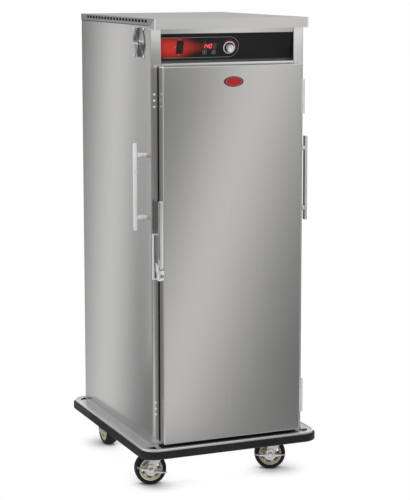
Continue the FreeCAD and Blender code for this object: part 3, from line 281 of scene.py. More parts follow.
def sheet_steel(name, along, rough, zones=()):
    """Brushed stainless sheet with its grain along one direction, and zones of painted shade and painted
    highlight.
    """
    material, tree, shader = start_material(name, {"Metallic": 1.0})
    grain = add_node(tree, "ShaderNodeGroup", node_tree=brushed_grain)
    grain.inputs["Along"].default_value = along
    tone = tone_ramp(tree, grain.outputs["Tone"], ((0.32, steel_dark), (0.68, steel_light)))
    wire(tree, add_zones(tree, tone, zones), shader.inputs["Base Color"])
    wire(tree, spread(tree, grain.outputs["Tone"], *rough), shader.inputs["Roughness"])
    add_relief(tree, shader, grain.outputs["Scratch"], scratch_relief, relief_depth)
    return material


def speckled(name, dark, light, rough, fineness, relief, metal=0.0, gloss=0.5, zones=()):
    """Moulded, cast or plated finish: two close tones, a little grit and uneven gloss, and zones of painted
    shade and painted highlight.
    """
    material, tree, shader = start_material(name, {"Metallic": metal, "Specular IOR Level": gloss})
    grit, tone = add_speckle(tree, fineness, dark, light)
    wire(tree, add_zones(tree, tone, zones), shader.inputs["Base Color"])
    wire(tree, spread(tree, grit.outputs["Patch"], *rough), shader.inputs["Roughness"])
    if relief:
        add_relief(tree, shader, grit.outputs["Grit"], relief, relief_depth)
    return material


def glowing(name, colour, strength):
    """Lit plastic: an even glow, a little brighter in slow patches."""
    material, tree, shader = start_material(name, {"Emission Strength": strength, "Roughness": 0.4})
    dimmed = tuple(0.85 * part for part in colour[:3]) + (1.0,)
    tone = add_speckle(tree, 900.0, dimmed, colour)[1]
    wire(tree, tone, shader.inputs["Base Color"])
    wire(tree, tone, shader.inputs["Emission Color"])
    return material


def panel_point(tree):
    """Coordinates on the control panel: across and up."""
    coords = add_node(tree, "ShaderNodeTexCoord")
    place = add_node(tree, "ShaderNodeMapping", {"Location": panel_origin, "Rotation": panel_turn},
                     vector_type="TEXTURE")
    wire(tree, coords.outputs["Object"], place.inputs["Vector"])
    split = add_node(tree, "ShaderNodeSeparateXYZ")
    wire(tree, place.outputs["Vector"], split.inputs["Vector"])
    return split.outputs["X"], split.outputs["Y"]


def diagonal(tree, side, rise):
    """Length of the diagonal over two legs."""
    squares = calc(tree, "ADD", calc(tree, "MULTIPLY", side, side), calc(tree, "MULTIPLY", rise, rise))
    return calc(tree, "SQRT", squares)


def round_distance(tree, across, up, centre):
    """Distance on the panel from a centre."""
    side, rise = calc(tree, "SUBTRACT", across, centre[0]), calc(tree, "SUBTRACT", up, centre[1])
    return diagonal(tree, side, rise)


def overlay_film():
    """Black graphic film: a red glow at the left, an outline round the controls, dots at the switch."""
    outline_end, outline_middle, outline_radius, outline_half = 0.01, -0.00275, 0.04005, 0.0006
    glow_start, glow_end, glow_gap, beam_wide, beam_narrow = -0.279, -0.066, 0.0012, 0.052, 0.012
    scale_radius, scale_half = 0.0295, 0.0009
    glow_red, scale_red = (0.7, 0.034, 0.027, 1.0), (0.45, 0.02, 0.02, 1.0)
    dot_grey, lamp_amber = grey(0.6), (0.9, 0.3, 0.02, 1.0)
    dots = (((-0.196, 0.03), 0.0013, dot_grey), ((-0.196, -0.031), 0.0013, dot_grey),
            ((-0.216, 0.0), 0.0013, dot_grey), ((-0.0926, 0.0185), 0.0016, lamp_amber))
    glow_stops = ((0.0, 1.0), (0.22, 1.0), (0.4, 0.92), (0.54, 0.66), (0.7, 0.36), (0.86, 0.14), (1.0, 0.0))
    material, tree, shader = start_material("overlay_film", {"Specular IOR Level": 0.25})
    across, up = panel_point(tree)
    grit, colour = add_speckle(tree, 2500.0, 0.005, 0.008)

    past_end = calc(tree, "MAXIMUM", calc(tree, "SUBTRACT", across, outline_end), 0.0)
    rise = calc(tree, "SUBTRACT", up, outline_middle)
    reach = diagonal(tree, past_end, rise)
    on_line = within(tree, reach, outline_radius, outline_half)
    inside = calc(tree, "LESS_THAN", reach, outline_radius - glow_gap)

    fade = tone_ramp(tree, carry(tree, across, glow_start, glow_end), glow_stops)
    taper = calc(tree, "ADD", calc(tree, "MULTIPLY", fade, beam_wide), beam_narrow)
    off_middle = calc(tree, "DIVIDE", calc(tree, "ABSOLUTE", rise), taper)
    beam = carry(tree, off_middle, 0.15, 1.0, 1.0, 0.0, "SMOOTHSTEP")
    glow = calc(tree, "MULTIPLY", calc(tree, "MULTIPLY", fade, beam), inside)

    colour = mix_colours(tree, glow, colour, glow_red)
    colour = mix_colours(tree, on_line, colour, grey(0.42))
    for centre, radius, tint in dots:
        dot = calc(tree, "LESS_THAN", round_distance(tree, across, up, centre), radius)
        colour = mix_colours(tree, dot, colour, tint)
    scale_line = within(tree, round_distance(tree, across, up, knob_centre), scale_radius, scale_half)
    scale_side = calc(tree, "GREATER_THAN", calc(tree, "ADD", across, up), sum(knob_centre))
    colour = mix_colours(tree, calc(tree, "MULTIPLY", scale_line, scale_side), colour, scale_red)
    wire(tree, colour, shader.inputs["Base Color"])
    wire(tree, spread(tree, grit.outputs["Patch"], 0.3, 0.42), shader.inputs["Roughness"])
    add_relief(tree, shader, grit.outputs["Grit"], 0.08, 0.0001)
    return material


def screen_mesh_and_shade():
    """Fine woven dust screen behind the roof vents, near black so that it also paints the shade inside the
    roof.
    """
    material, tree, shader = start_material("screen_mesh_and_shade", {"Roughness": 0.8, "Specular IOR Level": 0.1})
    coords = add_node(tree, "ShaderNodeTexCoord")
    weave = add_node(tree, "ShaderNodeTexChecker",
                     {"Scale": 700.0, "Color1": grey(0.004), "Color2": grey(0.012)})
    wire(tree, coords.outputs["Object"], weave.inputs["Vector"])
    wire(tree, weave.outputs["Color"], shader.inputs["Base Color"])
    add_relief(tree, shader, weave.outputs["Fac"], 0.3, 0.0002)
    return material


# Finishes: zones of painted shade and painted highlight first, each some bands and the tone where they
# meet, then the looks

steel_warmth, scratch_relief, relief_depth = 0.012, 0.015, 0.0003
steel_dark, steel_light = grey(0.53, steel_warmth), grey(0.57, steel_warmth)
satin = (0.28, 0.33)
upright_grain, cross_grain, deep_grain = (700.0, 700.0, 5.0), (5.0, 700.0, 700.0), (700.0, 5.0, 700.0)
outer_face = x_band(0.3225, 0.35)
# Painted shade on the outer faces of the roof flange and the visor's ends, above a slanted line
flange_shade = (outer_face, ((0.0, 0.62, 1.0), 1.5692, 2.5)), 0.36
# Painted shadow line on the side panels just under the roof flange
lap_shadow_line = (z_band(1.813, 1.83),), 0.08
# Painted highlight on the door frame's head, lighter than the rest of the frame
frame_head_highlight = (z_band(1.664, 1.9),), 0.82
# Painted highlight along the door's two upright edges
door_edge_highlight = (x_band(0.2886, 0.3),), 0.95
# Painted shade along the foot of the control panel
panel_foot_shade = (z_band(1.6, 1.6812),), 0.1
# Painted highlight on the control panel's strip above the overlay
panel_head_highlight = (z_band(1.783, 1.9),), 0.68
# Painted highlight on the upper jamb faces beside the control panel
jamb_head_highlight = (y_band(-0.4, -0.3935), z_band(1.655, 1.82)), 0.71
# Painted highlight on the visor's two front corners
visor_corner_highlight = (x_band(0.3188, 0.3226),), 0.88
# Painted highlight along the top of the bumper channel's lip
lip_highlight = (z_band(0.1746, 0.2),), 0.92
# Painted shade on the bumper channel below its lip, seen through the base corner openings
corner_well_shade = (x_band(-0.1, 0.3505), y_band(-0.4295, 0.4295), z_band(0.0, 0.173)), 0.03
# Painted shade on the base frame's front strip below the door
under_door_shade = (x_band(-0.1, 0.296), y_band(-0.5, -0.3)), 0.053
# Painted shade on the base frame below its ledge
below_ledge_shade = (z_band(0.0, 0.173),), 0.03
# Painted shade on the inner faces of the side handle bars
handle_inside_shade = (x_band(0.3585, 0.36),), 0.26
# Painted highlight streak across the middle of the fan guard wires
guard_highlight_streak = (z_band(1.74, 1.756),), 1.0

# Grain and roughness, then zones of painted shade and highlight
sheet_looks = {
    "steel_upright_grain": (upright_grain, satin),
    "steel_door_grain_and_edge_highlight": (upright_grain, satin, [door_edge_highlight]),
    "steel_frame_grain_and_head_highlight": (upright_grain, satin, [frame_head_highlight]),
    "steel_side_grain_shadow_and_highlight": (upright_grain, (0.2, 0.25), [lap_shadow_line, jamb_head_highlight]),
    "steel_panel_grain_shade_and_highlight": (cross_grain, satin, [panel_foot_shade, panel_head_highlight]),
    "steel_visor_grain_shade_and_highlight": (cross_grain, satin, [flange_shade, visor_corner_highlight]),
    "steel_roof_grain_and_shade": (deep_grain, satin, [flange_shade]),
    "steel_deep_grain": (deep_grain, satin),
}
# Dark and light tone, roughness, fineness, relief, metal, gloss, zones of painted shade and highlight
speckled_looks = {
    "rim_steel": (0.66, 0.72, (0.3, 0.38), 500.0, 0.0, 0.6, 0.5, [lip_highlight, corner_well_shade]),
    "ledge_steel": (0.6, 0.66, (0.36, 0.44), 900.0, 0.0, 0.6, 0.5, [under_door_shade, below_ledge_shade]),
    "chrome_plate": (0.8, 0.88, (0.12, 0.22), 500.0, 0.02, 1.0),
    "latch_polish": (0.84, 0.92, (0.14, 0.24), 500.0, 0.02, 0.55),
    "latch_hollow_shade": (0.15, 0.21, (0.35, 0.45), 500.0, 0.04),
    "groove_black": (0.025, 0.045, (0.45, 0.6), 700.0, 0.06, 0.0, 0.3),
    "guard_wire": (0.5, 0.6, (0.12, 0.2), 500.0, 0.02, 1.0, 0.5, [guard_highlight_streak]),
    "screw_polish": (0.88, 0.96, (0.16, 0.24), 900.0, 0.02, 0.3),
    "fan_black": (0.004, 0.008, (0.8, 0.9), 900.0, 0.1, 0.0, 0.04),
    "satin_cast": (0.84, 0.9, (0.34, 0.44), 500.0, 0.03, 0.25),
    "screw_grey": (0.34, 0.42, (0.3, 0.4), 600.0, 0.02, 0.8),
    "lever_polish": (0.68, 0.76, (0.14, 0.24), 500.0, 0.02, 0.65),
    "handle_polish_and_inner_shade": (0.84, 0.9, (0.26, 0.36), 600.0, 0.02, 0.35, 0.5, [handle_inside_shade]),
    "badge_line": (0.3, 0.36, (0.25, 0.35), 600.0, 0.03),
    "zinc_plate": (grey(0.6, 0.02), grey(0.7, 0.02), (0.3, 0.45), 350.0, 0.08, 1.0),
    "bumper_black": (0.008, 0.014, (0.45, 0.6), 600.0, 0.12, 0.0, 0.3),
    "tyre_black": (0.006, 0.011, (0.5, 0.65), 800.0, 0.15, 0.0, 0.25),
    "hub_cream": ((0.56, 0.54, 0.4, 1.0), (0.66, 0.64, 0.5, 1.0), (0.4, 0.55), 700.0, 0.08),
    "black_moulding": (0.008, 0.014, (0.35, 0.5), 1400.0, 0.2, 0.0, 0.35),
    "window_black": ((0.03, 0.003, 0.003, 1.0), (0.05, 0.004, 0.004, 1.0), (0.1, 0.16), 300.0, 0.01),
    "fibre_blanket": ((0.7, 0.6, 0.3, 1.0), (0.85, 0.76, 0.46, 1.0), (0.85, 0.95), 250.0, 0.9),
    "seal_rubber": (0.01, 0.018, (0.5, 0.65), 500.0, 0.1, 0.0, 0.3),
    "badge_red": ((0.36, 0.006, 0.008, 1.0), (0.45, 0.012, 0.014, 1.0), (0.3, 0.4), 500.0, 0.03, 0.0, 0.3),
    "badge_black": (0.01, 0.016, (0.4, 0.5), 500.0, 0.03, 0.0, 0.2),
    "motor_grey": (0.1, 0.14, (0.4, 0.55), 600.0, 0.15),
    "heater_dark": (grey(0.14, 0.05), grey(0.22, 0.06), (0.4, 0.55), 400.0, 0.1, 1.0),
    "knob_metal": (0.84, 0.9, (0.28, 0.38), 800.0, 0.03, 1.0),
    "mark_grey": (0.3, 0.38, (0.4, 0.5), 900.0, 0.03),
    "brass_pin": ((0.62, 0.45, 0.18, 1.0), (0.72, 0.54, 0.24, 1.0), (0.25, 0.35), 600.0, 0.03, 1.0),
}
looks = {name: sheet_steel(name, *values) for name, values in sheet_looks.items()}
looks.update({name: speckled(name, *values) for name, values in speckled_looks.items()})
looks["digit_glow"] = glowing("digit_glow", (1.0, 0.045, 0.075, 1.0), 1.6)
looks["overlay_film"] = overlay_film()
looks["screen_mesh_and_shade"] = screen_mesh_and_shade()

finishes = (
    ("steel_upright_grain", "back_panel door_liner cavity_liner rack_posts"),
    ("steel_door_grain_and_edge_highlight", "door_skin"),
    ("steel_frame_grain_and_head_highlight", "door_frame"),
    ("steel_side_grain_shadow_and_highlight", "side_panel_left side_panel_right"),
    ("steel_visor_grain_shade_and_highlight", "front_visor"),
    ("steel_panel_grain_shade_and_highlight", "control_panel"),
    ("steel_roof_grain_and_shade", "roof_cover"),
    ("rim_steel", "bumper_channel"),
    ("ledge_steel", "base_frame"),
    ("steel_deep_grain", "tray_slides air_baffle compartment_deck"),
    ("chrome_plate", "fan_guard panel_screws side_handles hinge_door_leaves "
                     "hinge_body_leaves latch_case latch_lever latch_strike"),
    ("zinc_plate", "front_caster_plates rear_caster_forks rear_axles front_fork_left front_fork_right "
                   "front_axle_left front_axle_right brake_pedal_left brake_pedal_right blower_wheel"),
    ("bumper_black", "bumper_rubber"),
    ("tyre_black", "front_tyre_left front_tyre_right rear_tyre_left rear_tyre_right"),
    ("hub_cream", "front_hub_left front_hub_right rear_hub_left rear_hub_right"),
    ("black_moulding", "power_switch power_rocker button_up button_down power_inlet"),
    ("fan_black", "fan_housing fan_rotor"),
    ("overlay_film", "control_overlay"),
    ("window_black", "display_module"),
    ("fibre_blanket", "wall_insulation door_insulation"),
    ("seal_rubber", "door_gasket"),
    ("badge_red", "door_badge"),
    ("motor_grey", "blower_motor thermostat"),
    ("heater_dark", "heater_element"),
    ("knob_metal", "thermostat_knob"),
)


def paint(piece, material):
    """Give every face of a piece one material."""
    if not piece.data.materials:
        piece.data.materials.append(material)
    for entry in piece.material_slots:
        entry.material = material


for look, names in finishes:
    for name in names.split():
        paint(nodes[name], looks[look])


# Modelling by hand: each helper works on the one piece taken in hand

def let_go():
    """Leave edit mode and let go of everything."""
    if bpy.context.mode != "OBJECT":
        bpy.ops.object.mode_set(mode="OBJECT")
    bpy.ops.object.select_all(action="DESELECT")


def hold(piece):
    """Take one piece in hand."""
    let_go()
    piece.select_set(True)
    bpy.context.view_layer.objects.active = piece


def take_all():
    """In edit mode, select everything."""
    bpy.ops.mesh.select_all(action="SELECT")


def close_up():
    """Leave edit mode."""
    bpy.ops.object.mode_set(mode="OBJECT")


def work_on(piece):
    """Open a piece in edit mode with all of it selected."""
    hold(piece)
    bpy.ops.object.mode_set(mode="EDIT")
    take_all()


def pick_faces(piece, test):
    """In edit mode, select only the faces whose middle and normal pass a test."""
    bpy.ops.mesh.select_mode(type="FACE")
    bpy.ops.mesh.select_all(action="DESELECT")
    shape = bmesh.from_edit_mesh(piece.data)
    for face in shape.faces:
        if test(face.calc_center_median(), face.normal):
            face.select_set(True)
    bmesh.update_edit_mesh(piece.data)


def pick_edges(piece, test):
    """In edit mode, select only the edges whose two ends pass a test."""
    bpy.ops.mesh.select_mode(type="EDGE")
    bpy.ops.mesh.select_all(action="DESELECT")
    shape = bmesh.from_edit_mesh(piece.data)
    for edge in shape.edges:
        if test(edge.verts[0].co, edge.verts[1].co):
            edge.select_set(True)
    bmesh.update_edit_mesh(piece.data)


def place_piece(piece, turn=origin, place=origin):
    """Turn and move a piece, and put its place in its mesh."""
    hold(piece)
    piece.rotation_euler = turn
    piece.location = place
    bpy.ops.object.transform_apply(location=True, rotation=True, scale=True)
    return piece


def copy_piece(piece, name, turn=origin, place=origin):
    """Copy of a piece with its own mesh, turned and moved."""
    hold(piece)
    bpy.ops.object.duplicate(linked=False)
    twin = bpy.context.active_object
    twin.name = name
    return place_piece(twin, turn, place)


def join_pieces(name, pieces):
    """Join several pieces into the first of them."""
    let_go()
    for piece in pieces:
        piece.select_set(True)
    bpy.context.view_layer.objects.active = pieces[0]
    bpy.ops.object.join()
    pieces[0].name = name
    return pieces[0]


def start_block(name, low, high):
    """Block between two corners, the start of a squared piece."""
    let_go()
    middle = [(a + b) / 2 for a, b in zip(low, high)]
    bpy.ops.mesh.primitive_cube_add(size=1.0, location=middle)
    piece = bpy.context.active_object
    piece.name = name
    piece.scale = [b - a for a, b in zip(low, high)]
    bpy.ops.object.transform_apply(location=True, rotation=True, scale=True)
    return piece


def round_edges(piece, test, width, steps):
    """Round the edges of a piece whose two ends pass a test."""
    work_on(piece)
    pick_edges(piece, test)
    bpy.ops.mesh.bevel(offset=width, segments=steps, affect="EDGES")
    close_up()


def put_away(*pieces):
    """Delete pieces that were only models for copies, or tools."""
    for piece in pieces:
        bpy.data.objects.remove(piece, do_unlink=True)


def ease_edges(piece, width, steps=2):
    """Round every sharp edge of a piece."""
    work_on(piece)
    bpy.ops.mesh.select_mode(type="EDGE")
    bpy.ops.mesh.select_all(action="DESELECT")
    bpy.ops.mesh.edges_select_sharp(sharpness=sharp_angle)
    bpy.ops.mesh.bevel(offset=width, segments=steps, affect="EDGES", clamp_overlap=True)
    close_up()
    return piece


def eased_block(name, low, high, width, steps=2):
    """Squared piece between two corners with rounded edges."""
    return ease_edges(start_block(name, low, high), width, steps)


def draw_chain(name, points):
    """New piece of points joined in a chain, left in edit mode."""
    let_go()
    bpy.ops.mesh.primitive_plane_add(size=0.001)
    piece = bpy.context.active_object
    piece.name = name
    bpy.ops.object.mode_set(mode="EDIT")
    bpy.ops.mesh.select_mode(type="VERT")
    take_all()
    bpy.ops.mesh.merge(type="CENTER")
    bpy.ops.transform.translate(value=points[0])
    for start, end in zip(points, points[1:]):
        step = tuple(b - a for a, b in zip(start, end))
        bpy.ops.mesh.extrude_vertices_move(TRANSFORM_OT_translate={"value": step})
    return piece


def turn_profile(name, profile, steps):
    """Lathe a profile of (radius, height) round the upright axis."""
    piece = draw_chain(name, [(radius, 0.0, height) for radius, height in profile])
    take_all()
    bpy.ops.mesh.spin(steps=steps, angle=whole_turn, center=origin, axis=(0.0, 0.0, 1.0))
    take_all()
    bpy.ops.mesh.remove_doubles(threshold=weld_distance)
    bpy.ops.mesh.normals_make_consistent(inside=False)
    close_up()
    return piece


def cut_plate(name, outline, travel, ease=0.0):
    """Plate cut to an outline of points and thickened by a travel, its edges eased."""
    piece = draw_chain(name, outline)
    shape = bmesh.from_edit_mesh(piece.data)
    for point in shape.verts:
        point.select = len(point.link_edges) == 1
    shape.select_flush_mode()
    bmesh.update_edit_mesh(piece.data)
    bpy.ops.mesh.edge_face_add()
    take_all()
    bpy.ops.mesh.edge_face_add()
    take_all()
    bpy.ops.mesh.extrude_region_move(TRANSFORM_OT_translate={"value": travel})
    take_all()
    bpy.ops.mesh.normals_make_consistent(inside=False)
    close_up()
    if ease:
        ease_edges(piece, ease)
    return piece


def cut_away(piece, tool):
    """Cut one piece's form out of another and put the tool away."""
    hold(piece)
    cut = piece.modifiers.new("cut", "BOOLEAN")
    cut.operation = "DIFFERENCE"
    cut.solver = "EXACT"
    cut.object = tool
    bpy.ops.object.modifier_apply(modifier=cut.name)
    put_away(tool)
    return piece


def arc(centre, radius, start, end, steps):
    """Points of an arc in its own plane, angles in degrees."""
    angles = [math.radians(start + (end - start) * i / steps) for i in range(steps + 1)]
    return [(centre[0] + radius * math.cos(a), centre[1] + radius * math.sin(a)) for a in angles]


def settle(piece, body, slot, look, *stands_for):
    """Finish a piece: smooth shading, its look, the body it moves with and the nodes it stands for."""
    hold(piece)
    bpy.ops.object.shade_smooth_by_angle(angle=sharp_angle)
    piece.data.materials.clear()
    piece.data.materials.append(looks[look])
    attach(piece, body)
    if stands_for:
        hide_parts(*stands_for)


def lay_on_panel(piece, across, up, out):
    """Set a piece that was modelled flat on the control panel."""
    lean = Euler(panel_turn).to_matrix()
    place_piece(piece, panel_turn, Vector(panel_origin) + lean @ Vector((across, up, out)))


# Casters: modelled about the swivel pin, then copied to the four corners

wheel_height = 0.0635
caster_trail = 0.038
caster_reach = 0.263
front_caster_y = -0.317
rear_caster_y = 0.2885
front_casters = {"left": (-caster_reach, math.radians(-12.0)), "right": (caster_reach, math.radians(-21.0))}
leg_inner, leg_sheet = 0.0295, 0.0035
leg_outer = leg_inner + leg_sheet
foot_radius = 0.014
pedal_tilt = math.radians(13.0)


def model_tyre():
    """Solid tyre with a crowned tread, rounded shoulders and a bead line on each wall."""
    wall = [(0.047, 0.0232), (0.0488, 0.025), (0.052, 0.025), (0.0526, 0.0243), (0.0532, 0.025),
            (0.056, 0.0247), (0.0597, 0.0226), (0.0621, 0.0182), (0.0631, 0.011), (0.0635, 0.004)]
    profile = [(radius, -height) for radius, height in wall] + wall[::-1]
    return turn_profile("caster_tyre", profile + profile[:1], 64)


def model_hub():
    """Moulded hub: dished web with kidney slots between a rolled rim and a boss."""
    half = [(0.0062, 0.028), (0.012, 0.028), (0.013, 0.0272), (0.0138, 0.019), (0.016, 0.0182),
            (0.0262, 0.0182), (0.0385, 0.0182), (0.0404, 0.019), (0.0414, 0.0222), (0.0424, 0.023),
            (0.0462, 0.023), (0.047, 0.0222)]
    profile = [(radius, -height) for radius, height in half] + half[::-1]
    hub = turn_profile("caster_hub", profile + profile[:1], 72)
    slot_start, slot_end, slot_inner, slot_outer, slot_count = 0.0, 34.0, 0.028, 0.037, 6
    outline = arc((0.0, 0.0), slot_outer, slot_start, slot_end, 6)
    outline += arc((0.0, 0.0), slot_inner, slot_end, slot_start, 6)
    tool_half = 0.03
    tools = [cut_plate("slot_tool", [(x, y, -tool_half) for x, y in outline], (0.0, 0.0, 2 * tool_half))]
    for i in range(1, slot_count):
        tools.append(copy_piece(tools[0], "slot_tool", (0.0, 0.0, whole_turn * i / slot_count)))
    return cut_away(hub, join_pieces("slot_tool", tools))


def hex_head(name, radius, height):
    """Hexagon head with a turned chamfer and a shallow crown."""
    head = turn_profile(name,
                        [(0.0, 0.0), (radius, 0.0), (radius, 0.8 * height), (0.86 * radius, 0.97 * height),
                         (0.5 * radius, height), (0.0, height)], 6)
    return ease_edges(head, 0.0004, 1)


def model_axle(low, high):
    """Axle bolt along the upright axis with a hexagon at each end."""
    shank_radius, head_radius, head_height, sunk = 0.005, 0.0098, 0.007, 0.0002
    shank = turn_profile("axle_shank", [(0.0, low - sunk), (shank_radius, low - sunk),
                                        (shank_radius, high + sunk), (0.0, high + sunk)], 20)
    top = place_piece(hex_head("axle_head", head_radius, head_height), place=(0.0, 0.0, high))
    tail = place_piece(hex_head("axle_nut", head_radius, head_height), face_down, (0.0, 0.0, low))
    return join_pieces("axle_bolt", [shank, top, tail])


def leg_outline(top_ahead, top_behind, top, offset):
    """Outline of a fork leg seen along the axle, from its top edge to the round foot."""
    foot_start, foot_end = 172.0, 368.0
    foot = arc((offset, wheel_height), foot_radius, foot_start, foot_end, 12)
    return [(top_ahead, top), (-top_behind, top)] + foot


def model_front_fork():
    """Swivel fork bent from one strip: crown and two trailing legs with rounded feet."""
    crown_low, crown_high, leg_top, ahead, behind = 0.1407, 0.1467, 0.143, 0.026, 0.044
    outline = leg_outline(ahead, behind, leg_top, -caster_trail)
    near = cut_plate("fork_leg", [(x, -leg_outer, z) for x, z in outline], (0.0, leg_sheet, 0.0), 0.0006)
    away = copy_piece(near, "fork_leg", place=(0.0, leg_outer + leg_inner, 0.0))
    crown = start_block("fork_crown", (-behind, -leg_outer, crown_low), (ahead, leg_outer, crown_high))
    round_edges(crown, lambda a, b: min(a.z, b.z) > crown_high - slack and abs(a.y - b.y) < slack, 0.0036,
                4)
    return join_pieces("swivel_fork", [near, away, ease_edges(crown, 0.0004, 1)])


def model_pedal():
    """Rocking brake pedal: disc on the axle with a tapered, turned-up tread to each side."""
    face, disc_sheet, disc_radius, depth = leg_outer + running_gap, 0.0035, 0.023, 0.016
    disc = turn_profile("pedal_disc", [(0.0053, 0.0), (0.0222, 0.0), (disc_radius, 0.0008),
                                       (disc_radius, 0.0027), (0.0222, disc_sheet), (0.015, disc_sheet),
                                       (0.0142, 0.0027), (0.0053, 0.0027), (0.0053, 0.0)], 40)
    place_piece(disc, face_front, (0.0, -face, 0.0))
    treads = []
    for side in (-1.0, 1.0):
        outline = [(0.015, -0.006), (0.034, -0.0022), (0.05, 0.0008), (0.061, 0.002), (0.061, 0.005),
                   (0.049, 0.0042), (0.034, 0.004), (0.015, 0.006)]
        points = [(side * x, -face, z) for x, z in outline]
        treads.append(cut_plate("pedal_tread", points, (0.0, -depth, 0.0), 0.0007))
    return join_pieces("brake_tread", [disc] + treads)


def model_rear_fork():
    """Rigid fork: bolted plate with two upright legs."""
    low, high, plate_half_x, plate_half_y, bolt_inset = 0.154, 0.158, 0.042, 0.05, 0.012
    plate = eased_block("fork_plate", (-plate_half_x, -plate_half_y, low),
                        (plate_half_x, plate_half_y, high), 0.0006)
    leg_half, leg_sunk = 0.026, 0.0005
    outline = leg_outline(leg_half, leg_half, low + leg_sunk, 0.0)
    near = cut_plate("fork_leg", [(-leg_outer, y, z) for y, z in outline], (leg_sheet, 0.0, 0.0), 0.0006)
    away = copy_piece(near, "fork_leg", place=(leg_outer + leg_inner, 0.0, 0.0))
    bolt = place_piece(hex_head("plate_bolt", 0.006, 0.005), face_down)
    reach_x, reach_y = plate_half_x - bolt_inset, plate_half_y - bolt_inset
    bolts = [copy_piece(bolt, "plate_bolt", place=(x, y, low))
             for x in (-reach_x, reach_x) for y in (-reach_y, reach_y)]
    put_away(bolt)
    return join_pieces("rigid_fork", [plate, near, away] + bolts)


def build_casters():
    """Copy the caster pieces to their places."""
    tyre, hub = model_tyre(), model_hub()
    wheel_parts = ((tyre, "tyre", "tyre_black"), (hub, "hub", "hub_cream"))
    across, along = face_front, face_right
    fork, pedal = model_front_fork(), model_pedal()
    brake_sheet = 0.0041
    bolt = place_piece(model_axle(-leg_outer - running_gap, leg_outer + brake_sheet), across)
    for side, (x, slew) in front_casters.items():
        pin = (x, front_caster_y, 0.0)
        turned = (0.0, 0.0, slew)
        centre = (-caster_trail, 0.0, wheel_height)
        wheel = "wheel_front_" + side
        for model, kind, finish in wheel_parts:
            piece = copy_piece(model, "front_%s_%s_moulded" % (kind, side), across, centre)
            settle(place_piece(piece, turned, pin), wheel, kind, finish, "front_%s_%s" % (kind, side))
        piece = copy_piece(bolt, "front_axle_%s_bolt" % side, place=centre)
        settle(place_piece(piece, turned, pin), "swivel_" + side, "zinc", "zinc_plate",
               "front_axle_" + side)
        piece = copy_piece(fork, "front_fork_%s_pressed" % side)
        settle(place_piece(piece, turned, pin), "swivel_" + side, "zinc", "zinc_plate",
               "front_fork_" + side)
        rest = pedal_tilt if side == "left" else 0.0
        piece = copy_piece(pedal, "brake_pedal_%s_pressed" % side, (0.0, rest, 0.0), centre)
        settle(place_piece(piece, turned, pin), "brake_" + side, "zinc", "zinc_plate",
               "brake_pedal_" + side)
    rear_fork = model_rear_fork()
    rear_bolt = place_piece(model_axle(-leg_outer - running_gap, leg_outer + running_gap), along)
    forks, bolts = [], []
    for side, x in (("left", -caster_reach), ("right", caster_reach)):
        centre = (x, rear_caster_y, wheel_height)
        for model, kind, finish in wheel_parts:
            piece = copy_piece(model, "rear_%s_%s_moulded" % (kind, side), along, centre)
            settle(piece, "wheel_rear_" + side, kind, finish, "rear_%s_%s" % (kind, side))
        forks.append(copy_piece(rear_fork, "rear_fork", place=(x, rear_caster_y, 0.0)))
        bolts.append(copy_piece(rear_bolt, "rear_bolt", place=centre))
    settle(join_pieces("rear_forks_pressed", forks), "cabinet", "zinc", "zinc_plate", "rear_caster_forks")
    settle(join_pieces("rear_axle_bolts", bolts), "cabinet", "zinc", "zinc_plate", "rear_axles")
    put_away(tyre, hub, fork, pedal, bolt, rear_fork, rear_bolt)


# Latch on the door's left edge

